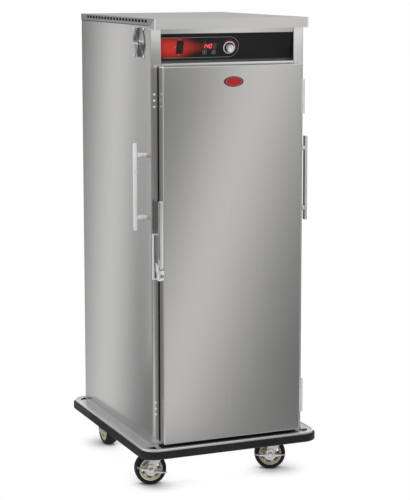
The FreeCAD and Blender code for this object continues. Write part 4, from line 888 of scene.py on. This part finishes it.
def build_latch():
    """Latch case with its grooved channel, and the long pull lever with a hollow side; dark sheets on the
    floors of the grooves and of the hollow are painted shade.
    """
    low, top, margin, floor_shade_margin = 0.84, 1.02, 0.006, 0.0062
    groove_middles, groove_half, floor_shade_half = (-0.3126, -0.30364), 0.003, 0.0029
    door_side, face, seat, front, lever_side = -0.293, -0.407, -0.406, -0.451, -0.3103
    channel = start_block("latch_channel", (-0.321, face, low), (door_side, -0.397, top))
    round_edges(channel, lambda a, b: max(a.y, b.y) < face + slack, 0.0028, 4)
    shaded_groove_floors = []
    # Near-black sheets on the groove floors are painted shade in the grooves
    for middle in groove_middles:
        groove = start_block("groove_tool", (middle - groove_half, -0.409, low + margin),
                             (middle + groove_half, -0.4052, top - margin))
        cut_away(channel, groove)
        shaded_groove_floors.append(eased_block("groove_floor_shade", (middle - floor_shade_half, -0.4057, low + floor_shade_margin),
                                  (middle + floor_shade_half, -0.405, top - floor_shade_margin), 0.0002, 1))
    settle(join_pieces("latch_groove_shade", shaded_groove_floors), "door", "black_plastic", "groove_black", "latch_case")
    foot = start_block("latch_foot", (-0.3106, front, low), (door_side, seat, 0.882))
    round_edges(foot, lambda a, b: max(a.y, b.y) < front + slack and max(a.z, b.z) < low + slack, 0.012, 8)
    ease_edges(foot, 0.0012, 3)
    flange = eased_block("latch_flange", (-0.2945, -0.438, low), (door_side, seat, top), 0.0004, 1)
    ear_outline = [(face, 0.872), (-0.4445, 0.872)] + arc(lever_pivot, 0.0065, 180.0, 0.0, 8)
    ear_outline += [(-0.42, 0.9083), (face, 0.9083)]
    ear = cut_plate("latch_ear", [(-0.3133, y, z) for y, z in ear_outline], (0.0027, 0.0, 0.0), 0.0005)
    pin = turn_profile("lever_pin", [(0.0, 0.0), (0.0042, 0.0), (0.0042, 0.0006), (0.003, 0.0012),
                                     (0.003, 0.0192), (0.0, 0.0192)], 20)
    place_piece(pin, face_right, (-0.3139, *lever_pivot))
    cap = turn_profile("latch_screw_head",
                       [(0.0, 0.0015), (0.0045, 0.0013), (0.0067, 0.0007), (0.0078, 0.0), (0.0078, -0.001),
                        (0.0, -0.001)], 24)
    settle(place_piece(cap, face_front, (-0.3012, front, 0.86)), "door", "chrome", "screw_grey",
           "latch_case")
    case = join_pieces("latch_case_cast", [channel, foot, flange, ear, pin])
    settle(case, "door", "chrome", "latch_polish", "latch_case")

    rear, tip_rear, high = -0.425, -0.433, 1.15
    lever_width, hollow_rim, hollow_depth = 0.0152, 0.0032, 0.0022
    outline = arc(lever_pivot, 0.013, 180.0, 360.0, 12)
    outline += [(rear, 1.009), (-0.4275, 1.0195), (tip_rear, 1.027), (tip_rear, 1.141),
                (-0.4365, 1.1475), (-0.442, high), (-0.448, high), (front, 1.147)]
    lever = cut_plate("lever_bar", [(lever_side, y, z) for y, z in outline], (lever_width, 0.0, 0.0))
    work_on(lever)
    pick_faces(lever, lambda middle, normal: normal.x < -0.9)
    bpy.ops.mesh.inset(thickness=hollow_rim, depth=-hollow_depth)
    ease_edges(lever, 0.0011, 3)
    settle(lever, "lever", "chrome", "lever_polish", "latch_lever")
    lever.name = "latch_lever_cast"
    # A dark sheet on the floor of the lever's hollow is painted shade
    hollow = [(-0.4472, 0.925), (-0.4288, 0.925), (-0.4288, 1.0075), (-0.4315, 1.018), (-0.4368, 1.025),
              (-0.4368, 1.14), (-0.439, 1.144), (-0.444, 1.1462), (-0.4472, 1.144)]
    floor = cut_plate("lever_hollow", [(-0.3084, y, z) for y, z in hollow], (0.0008, 0.0, 0.0), 0.0002)
    settle(floor, "lever", "chrome", "latch_hollow_shade", "latch_lever")


# Bar handles on the sides

def build_handles():
    """Flat bars with rounded edges on turned posts, a screw head at each post."""
    bar = start_block("handle_bar", (-handle_outer, handle_y - handle_half, handle_low),
                      (-handle_inner, handle_y + handle_half, handle_high))
    round_edges(bar, lambda a, b: abs(a.z - b.z) > 0.1, 0.0022, 4)
    ease_edges(bar, 0.0007, 2)
    post = turn_profile("handle_post", [(0.0, 0.0), (0.0092, 0.0), (0.0092, 0.0105), (0.01, 0.0115),
                                        (0.0106, 0.0118), (0.011, 0.0126), (0.011, 0.0385), (0.0, 0.0385)],
                        40)
    place_piece(post, face_left)
    screw = turn_profile("handle_screw", [(0.0, 0.0004), (0.004, 0.0006), (0.0052, 0.0005), (0.0056, 0.0),
                                          (0.0056, -0.002), (0.0, -0.002)], 24)
    place_piece(screw, face_left)
    pieces, post_heights = [bar], (1.075, 1.317)
    for height in post_heights:
        pieces.append(copy_piece(post, "handle_post", place=(-body_side, handle_y, height)))
        pieces.append(copy_piece(screw, "handle_screw", place=(-handle_outer, handle_y, height)))
    left = join_pieces("handle_left", pieces)
    right = copy_piece(left, "handle_right", (0.0, 0.0, half_turn), (0.0, 2 * handle_y, 0.0))
    settle(join_pieces("side_handle_bars", [left, right]), "cabinet", "chrome", "handle_polish_and_inner_shade",
           "side_handles")
    put_away(post, screw)


# Hinges on the right

def model_screw():
    """Pan-head screw with a crossed recess, standing on the XY plane."""
    head = turn_profile("pan_screw", [(0.0, 0.0026), (0.0016, 0.00255), (0.003, 0.0021), (0.0039, 0.0014),
                                      (0.0044, 0.0006), (0.0045, 0.0), (0.0, 0.0)], 24)
    for long_x, long_y in ((0.0024, 0.0005), (0.0005, 0.0024)):
        cut_away(head, start_block("recess_tool", (-long_x, -long_y, 0.0012), (long_x, long_y, 0.004)))
    return head


def model_knuckle(name, low, high):
    """Hinge knuckle on the upright axis, its ends chamfered."""
    radius, chamfer = 0.007, 0.001
    inner = radius - chamfer
    return turn_profile(name, [(0.0, low), (inner, low), (radius, low + chamfer), (radius, high - chamfer),
                               (inner, high), (0.0, high)], 28)


def build_hinges():
    """Lift-off hinges: body leaf with two knuckles, door leaf with the middle one, and their screws."""
    axis_x, axis_y, web_half, cheek_reach = 0.3074, -0.426, 0.0045, 0.0126
    leaf_screw_x, leaf_screw_rise = 0.313, 0.012
    leaf_half, knuckle_start, barrel_half = 0.0675, 0.0365, 0.0362
    leaf_front, jamb_x, fan_screw_x, screw_pitch = -0.399, -0.308, -0.3244, 0.0235
    screw = model_screw()
    body_pieces, door_pieces = [], []
    for middle in hinge_heights:
        leaf = eased_block("body_leaf", (0.2959, leaf_front, middle - leaf_half),
                           (0.3189, body_front, middle + leaf_half), 0.0008)
        body_pieces.append(leaf)
        for side in (-1.0, 1.0):
            ends = sorted((middle + side * knuckle_start, middle + side * leaf_half))
            web = eased_block("body_web", (axis_x - web_half, axis_y, ends[0]),
                              (axis_x + web_half, -0.397, ends[1]), 0.0006)
            knuckle = model_knuckle("body_knuckle", 0.0, leaf_half - knuckle_start)
            place_piece(knuckle, place=(axis_x, axis_y, ends[0]))
            cheek = eased_block("body_cheek", (axis_x - cheek_reach, axis_y - web_half, ends[0]),
                                (axis_x, axis_y + web_half, ends[1]), 0.0006)
            body_pieces += [web, knuckle, cheek]
            body_pieces.append(copy_piece(screw, "leaf_screw", face_front,
                                          (leaf_screw_x, leaf_front, middle + side * leaf_screw_rise)))
        plate = eased_block("door_leaf", (0.293, -0.441, middle - barrel_half),
                            (0.296, -0.409, middle + barrel_half), 0.0008)
        web = eased_block("door_web", (0.2955, axis_y - web_half, middle - barrel_half),
                          (axis_x, axis_y + web_half, middle + barrel_half), 0.0006)
        barrel = model_knuckle("door_knuckle", -barrel_half, barrel_half)
        place_piece(barrel, place=(axis_x, axis_y, middle))
        door_pieces += [plate, web, barrel]
    settle(join_pieces("hinge_body_castings", body_pieces), "cabinet", "chrome", "satin_cast",
           "hinge_body_leaves")
    settle(join_pieces("hinge_door_castings", door_pieces), "door", "chrome", "satin_cast",
           "hinge_door_leaves")

    jamb = [copy_piece(screw, "jamb_screw", face_front, (jamb_x, body_front, height + step))
            for height in hinge_heights for step in (-screw_pitch, 0.0, screw_pitch)]
    corners = (-fan_screw_reach, fan_screw_reach)
    fan = [copy_piece(screw, "fan_screw", face_left, (fan_screw_x, fan_y + y, fan_z + z))
           for y in corners for z in corners]
    settle(join_pieces("screw_heads", jamb + fan), "cabinet", "chrome", "screw_polish", "panel_screws")
    put_away(screw)


# Cooling fan guard on the left side

def model_ring(name, radius, wire_radius):
    """Ring of round wire about the upright axis."""
    section = arc((radius - wire_radius, 0.0), wire_radius, 0.0, 360.0, 8)
    return turn_profile(name, section, 56)


def build_guard():
    """Finger guard of round wire: seven rings on four arms that end in looped ears."""
    wire_radius, ring_count, inner, outer = 0.0013, 7, 0.011, 0.058
    ring_x, arm_x, arm_start, arm_end = -0.3256, -0.3233, 0.0085, 0.069
    ear_radius, ear_reach, arm_count = 0.0055, 0.07425, 4
    pieces = []
    for i in range(ring_count):
        ring = model_ring("guard_ring", inner + (outer - inner) * i / (ring_count - 1), wire_radius)
        pieces.append(place_piece(ring, face_left, (ring_x, fan_y, fan_z)))
    arm = turn_profile("guard_arm", [(0.0, arm_start), (wire_radius, arm_start), (wire_radius, arm_end),
                                     (0.0, arm_end)], 10)
    ear = model_ring("guard_ear", ear_radius, wire_radius)
    place_piece(ear, face_left, (0.0, 0.0, ear_reach))
    spoke = join_pieces("guard_spoke", [arm, ear])
    for i in range(arm_count):
        turn = (whole_turn * (i + 0.5) / arm_count, 0.0, 0.0)
        pieces.append(copy_piece(spoke, "guard_spoke", turn, (arm_x, fan_y, fan_z)))
    put_away(spoke)
    settle(join_pieces("fan_guard_wires", pieces), "cabinet", "chrome", "guard_wire", "fan_guard")


# Controls

def build_knob():
    """Thermostat knob: bright skirt, black collar, fluted cap and a dark pointer line."""
    skirt = turn_profile("knob_skirt", [(0.0175, 0.0009), (0.0244, 0.0009), (0.025, 0.0015),
                                        (0.025, 0.0032), (0.024, 0.0042), (0.0214, 0.0044),
                                        (0.0208, 0.0038), (0.0175, 0.0038), (0.0175, 0.0009)], 64)
    collar = turn_profile("knob_collar", [(0.0, 0.001), (0.0206, 0.001), (0.0206, 0.004), (0.0172, 0.0052),
                                          (0.0164, 0.0084), (0.0, 0.0084)], 48)
    cap = turn_profile("knob_cap", [(0.0, 0.008), (0.016, 0.008), (0.0158, 0.01), (0.0149, 0.0196),
                                    (0.0141, 0.0207), (0.0132, 0.0209), (0.0122, 0.0205), (0.0, 0.0204)],
                       72)
    flute, flute_margin, flute_depth = math.radians(5.0), 0.00012, 0.0005
    work_on(cap)
    pick_faces(cap, lambda middle, normal: 0.0105 < middle.z < 0.019 and abs(normal.z) < 0.3
               and int(round(math.atan2(middle.y, middle.x) / flute - 0.5)) % 2 == 0)
    bpy.ops.mesh.inset(thickness=flute_margin, depth=-flute_depth, use_individual=True)
    close_up()
    pointer = eased_block("knob_pointer", (-0.001, 0.003, 0.02), (0.001, 0.0118, 0.02075), 0.0002, 1)
    for piece, slot, finish in ((skirt, "knob", "knob_metal"), (collar, "black_plastic", "black_moulding"),
                                (cap, "knob", "knob_metal"), (pointer, "black_plastic", "black_moulding")):
        lay_on_panel(piece, knob_centre[0], knob_centre[1], 0.0)
        settle(piece, "knob", slot, finish, "thermostat_knob")


def segment(name, centre, half_length, half_width, upright):
    """One bar of a lit figure, pointed at both ends and leaning with the figure."""
    lean = 0.16
    tips = [(-half_length, 0.0), (-half_length + half_width, half_width),
            (half_length - half_width, half_width), (half_length, 0.0),
            (half_length - half_width, -half_width), (-half_length + half_width, -half_width)]
    if upright:
        tips = [(y, x) for x, y in tips]
    points = [(centre[0] + x, centre[1] + y) for x, y in tips]
    return cut_plate(name, [(x + lean * y, y, 0.0) for x, y in points], (0.0, 0.0, print_sheet))


def build_figures():
    """Lit temperature figures in the display window."""
    half_width, half_height, bar, gap = 0.004, 0.0072, 0.0011, 0.0003
    pitch, shift, lift = 0.0135, 0.01, 0.0001
    lit = {"a": ((0.0, half_height), False), "g": ((0.0, 0.0), False), "d": ((0.0, -half_height), False),
           "f": ((-half_width, half_height / 2), True), "b": ((half_width, half_height / 2), True),
           "e": ((-half_width, -half_height / 2), True), "c": ((half_width, -half_height / 2), True)}
    pieces = []
    for offset, bars in ((-pitch, "bc"), (0.0, "fgbc"), (pitch, "abcdef")):
        for key in bars:
            (x, y), upright = lit[key]
            half_length = half_height / 2 - gap if upright else half_width - gap
            pieces.append(segment("figure_bar", (offset + x, y), half_length, bar, upright))
    figures = join_pieces("display_figures", pieces)
    lay_on_panel(figures, display_centre[0] - shift, display_centre[1], overlay_face + lift)
    settle(figures, "cabinet", "display", "digit_glow")


def build_button_marks():
    """Ring and arrow printed on each round button."""
    face, inner, outer, arrow_half, arrow_foot, arrow_tip = 0.0016, 0.0078, 0.0088, 0.0036, 0.0022, 0.0038
    for side, (across, up) in button_centres.items():
        ring = turn_profile("mark_ring", [(inner, 0.0), (outer, 0.0), (outer, print_sheet),
                                          (inner, print_sheet), (inner, 0.0)], 40)
        point = 1.0 if side == "up" else -1.0
        arrow = cut_plate("mark_arrow", [(-arrow_half, -arrow_foot * point, 0.0),
                                         (arrow_half, -arrow_foot * point, 0.0),
                                         (0.0, arrow_tip * point, 0.0)], (0.0, 0.0, print_sheet))
        marks = join_pieces("button_mark_" + side, [ring, arrow])
        lay_on_panel(marks, across, up, face)
        settle(marks, side + "_button", "knob", "mark_grey")


def build_switch():
    """Switch bezel: a frame with a sunk middle for the rocker."""
    half_x, half_y, height, rim, sunk = 0.014, 0.0255, 0.002, 0.005, 0.0018
    outer = [(-half_x, -half_y), (half_x, -half_y), (half_x, half_y), (-half_x, half_y)]
    bezel = cut_plate("switch_frame", [(x, y, overlay_face) for x, y in outer], (0.0, 0.0, height))
    work_on(bezel)
    pick_faces(bezel, lambda middle, normal: normal.z > 0.9)
    bpy.ops.mesh.inset(thickness=rim, depth=0.0)
    bpy.ops.mesh.extrude_region_move(TRANSFORM_OT_translate={"value": (0.0, 0.0, -sunk)})
    ease_edges(bezel, 0.0006, 2)
    bezel.name = "switch_bezel"
    lay_on_panel(bezel, switch_centre[0], switch_centre[1], 0.0)
    settle(bezel, "cabinet", "black_plastic", "black_moulding", "power_switch")


# Door badge, gasket and small fittings

def build_badge():
    """Oval badge plate: black rim, thin bright line, plain red field."""
    wide, tall, seat_y, height = 0.0405, 0.02, -0.446, 1.599
    rim = [(0.86, 0.0), (0.985, 0.0), (1.0, 0.0006), (1.0, 0.002), (0.98, 0.0029), (0.88, 0.0029),
           (0.86, 0.0023), (0.86, 0.0)]
    line = [(0.83, 0.0), (0.862, 0.0), (0.862, 0.0025), (0.83, 0.0025), (0.83, 0.0)]
    field = [(0.0, 0.0), (0.832, 0.0), (0.832, 0.0021), (0.6, 0.0024), (0.3, 0.0026), (0.0, 0.00265)]
    for name, finish, profile in (("badge_rim", "badge_black", rim), ("badge_line", "badge_line", line),
                                  ("badge_field", "badge_red", field)):
        ring = turn_profile(name, [(tall * share, rise) for share, rise in profile], 72)
        work_on(ring)
        bpy.ops.transform.resize(value=(wide / tall, 1.0, 1.0), center_override=origin)
        close_up()
        place_piece(ring, face_front, (0.0, seat_y, height))
        settle(ring, "door", "badge", finish, "door_badge")


def build_gasket():
    """Door gasket: a soft rounded bulb all round the opening, on a flat base."""
    half, low, high, width, front, rear = 0.285, 0.199, 1.654, 0.015, -0.406, -0.3963
    outer = [(-half, low), (half, low), (half, high), (-half, high)]
    gasket = cut_plate("gasket_bulb", [(x, front, z) for x, z in outer], (0.0, rear - front, 0.0))
    core = start_block("core_tool", (-half + width, front - 0.01, low + width),
                       (half - width, rear + 0.01, high - width))
    cut_away(gasket, core)
    round_edges(gasket, lambda a, b: min(a.y, b.y) > rear - slack, 0.0044, 5)
    gasket.name = "door_gasket_bulb"
    settle(gasket, "door", "gasket", "seal_rubber", "door_gasket")


def build_inlet():
    """Flanged power inlet at the back with three blades in its recess."""
    x, face, height = 0.215, 0.412, 1.752
    shell = turn_profile("inlet_shell", [(0.0, -0.03), (0.025, -0.03), (0.025, 0.0), (0.0332, 0.0),
                                         (0.034, 0.0008), (0.034, 0.003), (0.0328, 0.004), (0.0215, 0.004),
                                         (0.02, 0.0025), (0.02, -0.028), (0.0, -0.028)], 48)
    blades, blade_count = [], 3
    for i in range(blade_count):
        blade = eased_block("inlet_blade", (-0.003, 0.0102, -0.0285), (0.003, 0.0118, -0.01), 0.0003, 1)
        blades.append(place_piece(blade, (0.0, 0.0, whole_turn * i / blade_count)))
    contacts = join_pieces("inlet_blades", blades)
    for piece, finish, slot in ((shell, "black_moulding", "black_plastic"),
                                (contacts, "brass_pin", "zinc")):
        place_piece(piece, face_back, (x, face, height))
        settle(piece, "cabinet", slot, finish, "power_inlet")


def build_screens():
    """Black dust screens behind the roof vents on both sides, which also stand in for the shade inside the
    roof.
    """
    first_y, pitch, count, vent_z = -0.349, 0.0354, 20, 1.831
    screen_outer, screen_inner, margin, below, above = 0.3205, 0.3185, 0.012, 0.0066, 0.0075
    last_y = first_y + pitch * (count - 1)
    for side, sign in both_sides:
        ends = sorted((sign * screen_outer, sign * screen_inner))
        strip = eased_block("vent_screen_" + side, (ends[0], first_y - margin, vent_z - below),
                            (ends[1], last_y + margin, vent_z + above), 0.0003, 1)
        settle(strip, "cabinet", "black_plastic", "screen_mesh_and_shade")


for build in (build_casters, build_latch, build_handles, build_hinges, build_guard, build_knob,
              build_figures, build_button_marks, build_switch, build_badge, build_gasket, build_inlet,
              build_screens):
    build()


# Studio: surroundings, floor, reflection cards, lamp and camera

light_level = 0.62
floor_size, shade_reach = 60.0, 0.19
floor_lift, card_wall = 0.002, 1.8
camera_reach = 200.0
key_place, key_target, key_size, key_power = (-3.2, -3.4, 4.2), (0.0, 0.0, 0.9), 2.4, 130.0


def background_share(tree):
    """1 for what the camera sees, straight or in metal and glass, and 0 for the light itself."""
    path = add_node(tree, "ShaderNodeLightPath")
    seen = calc(tree, "MAXIMUM", path.outputs["Is Camera Ray"], path.outputs["Is Glossy Ray"])
    return calc(tree, "MAXIMUM", seen, path.outputs["Is Transmission Ray"])


def split_view(tree, output, lit, seen):
    """One shader for the light, and another for what the camera sees."""
    mix = add_node(tree, "ShaderNodeMixShader")
    for socket, source in (("Fac", background_share(tree)), (1, lit), (2, seen)):
        wire(tree, source, mix.inputs[socket])
    wire(tree, mix.outputs["Shader"], output.inputs["Surface"])


def light_world():
    """White surroundings, with plain even light of a lower level."""
    world = bpy.data.worlds.new("studio")
    bpy.context.scene.world = world
    world.use_nodes = True
    tree = world.node_tree
    tree.nodes.clear()
    output = add_node(tree, "ShaderNodeOutputWorld")
    light = add_node(tree, "ShaderNodeBackground", {"Color": grey(1.0), "Strength": light_level})
    white = add_node(tree, "ShaderNodeBackground", {"Color": grey(1.0), "Strength": 1.0})
    split_view(tree, output, light.outputs["Background"], white.outputs["Background"])


def lay_floor():
    """Pale studio floor that shows white and keeps the shadow where the wheels stand."""
    bpy.ops.object.select_all(action="DESELECT")
    bpy.ops.mesh.primitive_plane_add(size=floor_size, location=origin)
    floor = bpy.context.active_object
    floor.name = "studio_floor"
    material, tree, output = bare_material("floor_white")
    matte = add_node(tree, "ShaderNodeBsdfDiffuse", {"Color": grey(0.8)})
    nearby = add_node(tree, "ShaderNodeAmbientOcclusion", {"Distance": shade_reach}, samples=16)
    shade = tone_ramp(tree, nearby.outputs["AO"], ((0.1, 0.02), (0.32, 0.2), (0.52, 0.6), (0.7, 1.0)))
    seen = add_node(tree, "ShaderNodeEmission")
    wire(tree, shade, seen.inputs["Color"])
    split_view(tree, output, matte.outputs["BSDF"], seen.outputs["Emission"])
    floor.data.materials.append(material)


def hang_card(name, middle, turn, size, slope, offset, stops):
    """Graded card beside the cabinet that shows only in its metal; tone follows a slanted line."""
    bpy.ops.object.select_all(action="DESELECT")
    bpy.ops.mesh.primitive_plane_add(size=1.0, location=middle, rotation=turn)
    card = bpy.context.active_object
    card.name = name
    card.scale = (size[0], size[1], 1.0)
    bpy.ops.object.transform_apply(location=True, rotation=True, scale=True)
    material, tree, output = bare_material(name + "_tone")
    coords = add_node(tree, "ShaderNodeTexCoord")
    slant = add_node(tree, "ShaderNodeVectorMath", operation="DOT_PRODUCT")
    slant.inputs[1].default_value = slope
    wire(tree, coords.outputs["Object"], slant.inputs[0])
    place = calc(tree, "MULTIPLY", calc(tree, "ADD", slant.outputs["Value"], offset + 1.0), 0.5)
    tone = tone_ramp(tree, place, [((position + 1.0) * 0.5, level) for position, level in stops])
    glow = add_node(tree, "ShaderNodeEmission")
    wire(tree, tone, glow.inputs["Color"])
    wire(tree, glow.outputs["Emission"], output.inputs["Surface"])
    card.data.materials.append(material)
    for ray in ("camera", "diffuse", "transmission", "volume_scatter", "shadow"):
        setattr(card, "visible_" + ray, False)


def hang_cards():
    """Cards that shade the door, the two sides, the back, the roof and the base."""
    front_stops = ((-0.8, 0.27), (-0.55, 0.33), (-0.4, 0.46), (-0.27, 0.66), (-0.13, 0.9), (0.0, 1.12),
                   (0.12, 0.96), (0.28, 0.78), (0.45, 0.56), (0.6, 0.41), (0.78, 0.3), (0.95, 0.24))
    side_stops = ((-0.95, 0.08), (-0.7, 0.16), (-0.5, 0.33), (-0.34, 0.55), (-0.2, 0.79), (-0.05, 0.99),
                  (0.06, 1.01), (0.18, 0.84), (0.32, 0.6), (0.47, 0.34), (0.62, 0.2))
    flag_stops = ((-0.9, 0.6), (-0.45, 0.5), (-0.2, 0.24), (0.9, 0.24))
    hang_card("door_card", (0.05, -1.046, 0.8625), face_front, (2.1, 1.715), (1.5467, 0.0, -0.4929),
              0.1885, front_stops)
    for side, sign in both_sides:
        hang_card(side + "_card", (sign * 0.532, 2.065, 0.905), face_right, (card_wall, 3.87),
                  (0.0, -1.132, -0.1506), 0.852, side_stops)
    hang_card("left_flag", (-1.0, -0.073, 0.9), face_right, (card_wall, 1.946), (0.0, 1.0, 0.0), 0.0,
              flag_stops)
    hang_card("back_card", (0.05, 1.15, 0.8625), face_front, (0.94, 1.715), (1.2, 0.0, -0.3), 0.1,
              front_stops)
    even_cards = (("right_flag", (1.1, -0.62, 0.9), face_right, (card_wall, 0.85), 0.28),
                  ("front_floor_card", (0.15, -0.86, floor_lift), origin, (1.9, 0.36), 0.26),
                  ("left_floor_card", (-0.8, 1.5, floor_lift), origin, (0.8, 3.0), 0.3),
                  ("rear_floor_card", (-0.29, 1.7, floor_lift), origin, (0.22, 2.4), 0.15),
                  ("roof_card", (0.2, 2.2, 2.35), face_front, (4.4, 1.3), 0.52))
    for name, middle, turn, size, tone in even_cards:
        hang_card(name, middle, turn, size, origin, 0.0, ((-1.0, tone), (1.0, tone)))


def add_softbox(name, place, target, size, power):
    """Square soft light aimed at a point."""
    lamp = bpy.data.lights.new(name, "AREA")
    lamp.shape = "SQUARE"
    lamp.size = size
    lamp.energy = power
    holder = bpy.data.objects.new(name, lamp)
    bpy.context.scene.collection.objects.link(holder)
    holder.location = place
    holder.rotation_euler = (Vector(target) - Vector(place)).to_track_quat("-Z", "Y").to_euler()
    holder.visible_glossy = False


def set_camera():
    """Camera at the photograph's place."""
    camera = bpy.data.cameras.new("photo_camera")
    holder = bpy.data.objects.new("photo_camera", camera)
    bpy.context.scene.collection.objects.link(holder)
    holder.location = camera_place
    holder.rotation_euler = tuple(math.radians(angle) for angle in camera_turn)
    camera.sensor_width = camera_sensor
    camera.lens = camera_lens
    camera.shift_y = camera_shift_y
    camera.clip_end = camera_reach
    bpy.context.scene.camera = holder


light_world()
lay_floor()
hang_cards()
add_softbox("key_softbox", key_place, key_target, key_size, key_power)
set_camera()
bpy.context.scene.view_settings.view_transform = "Standard"
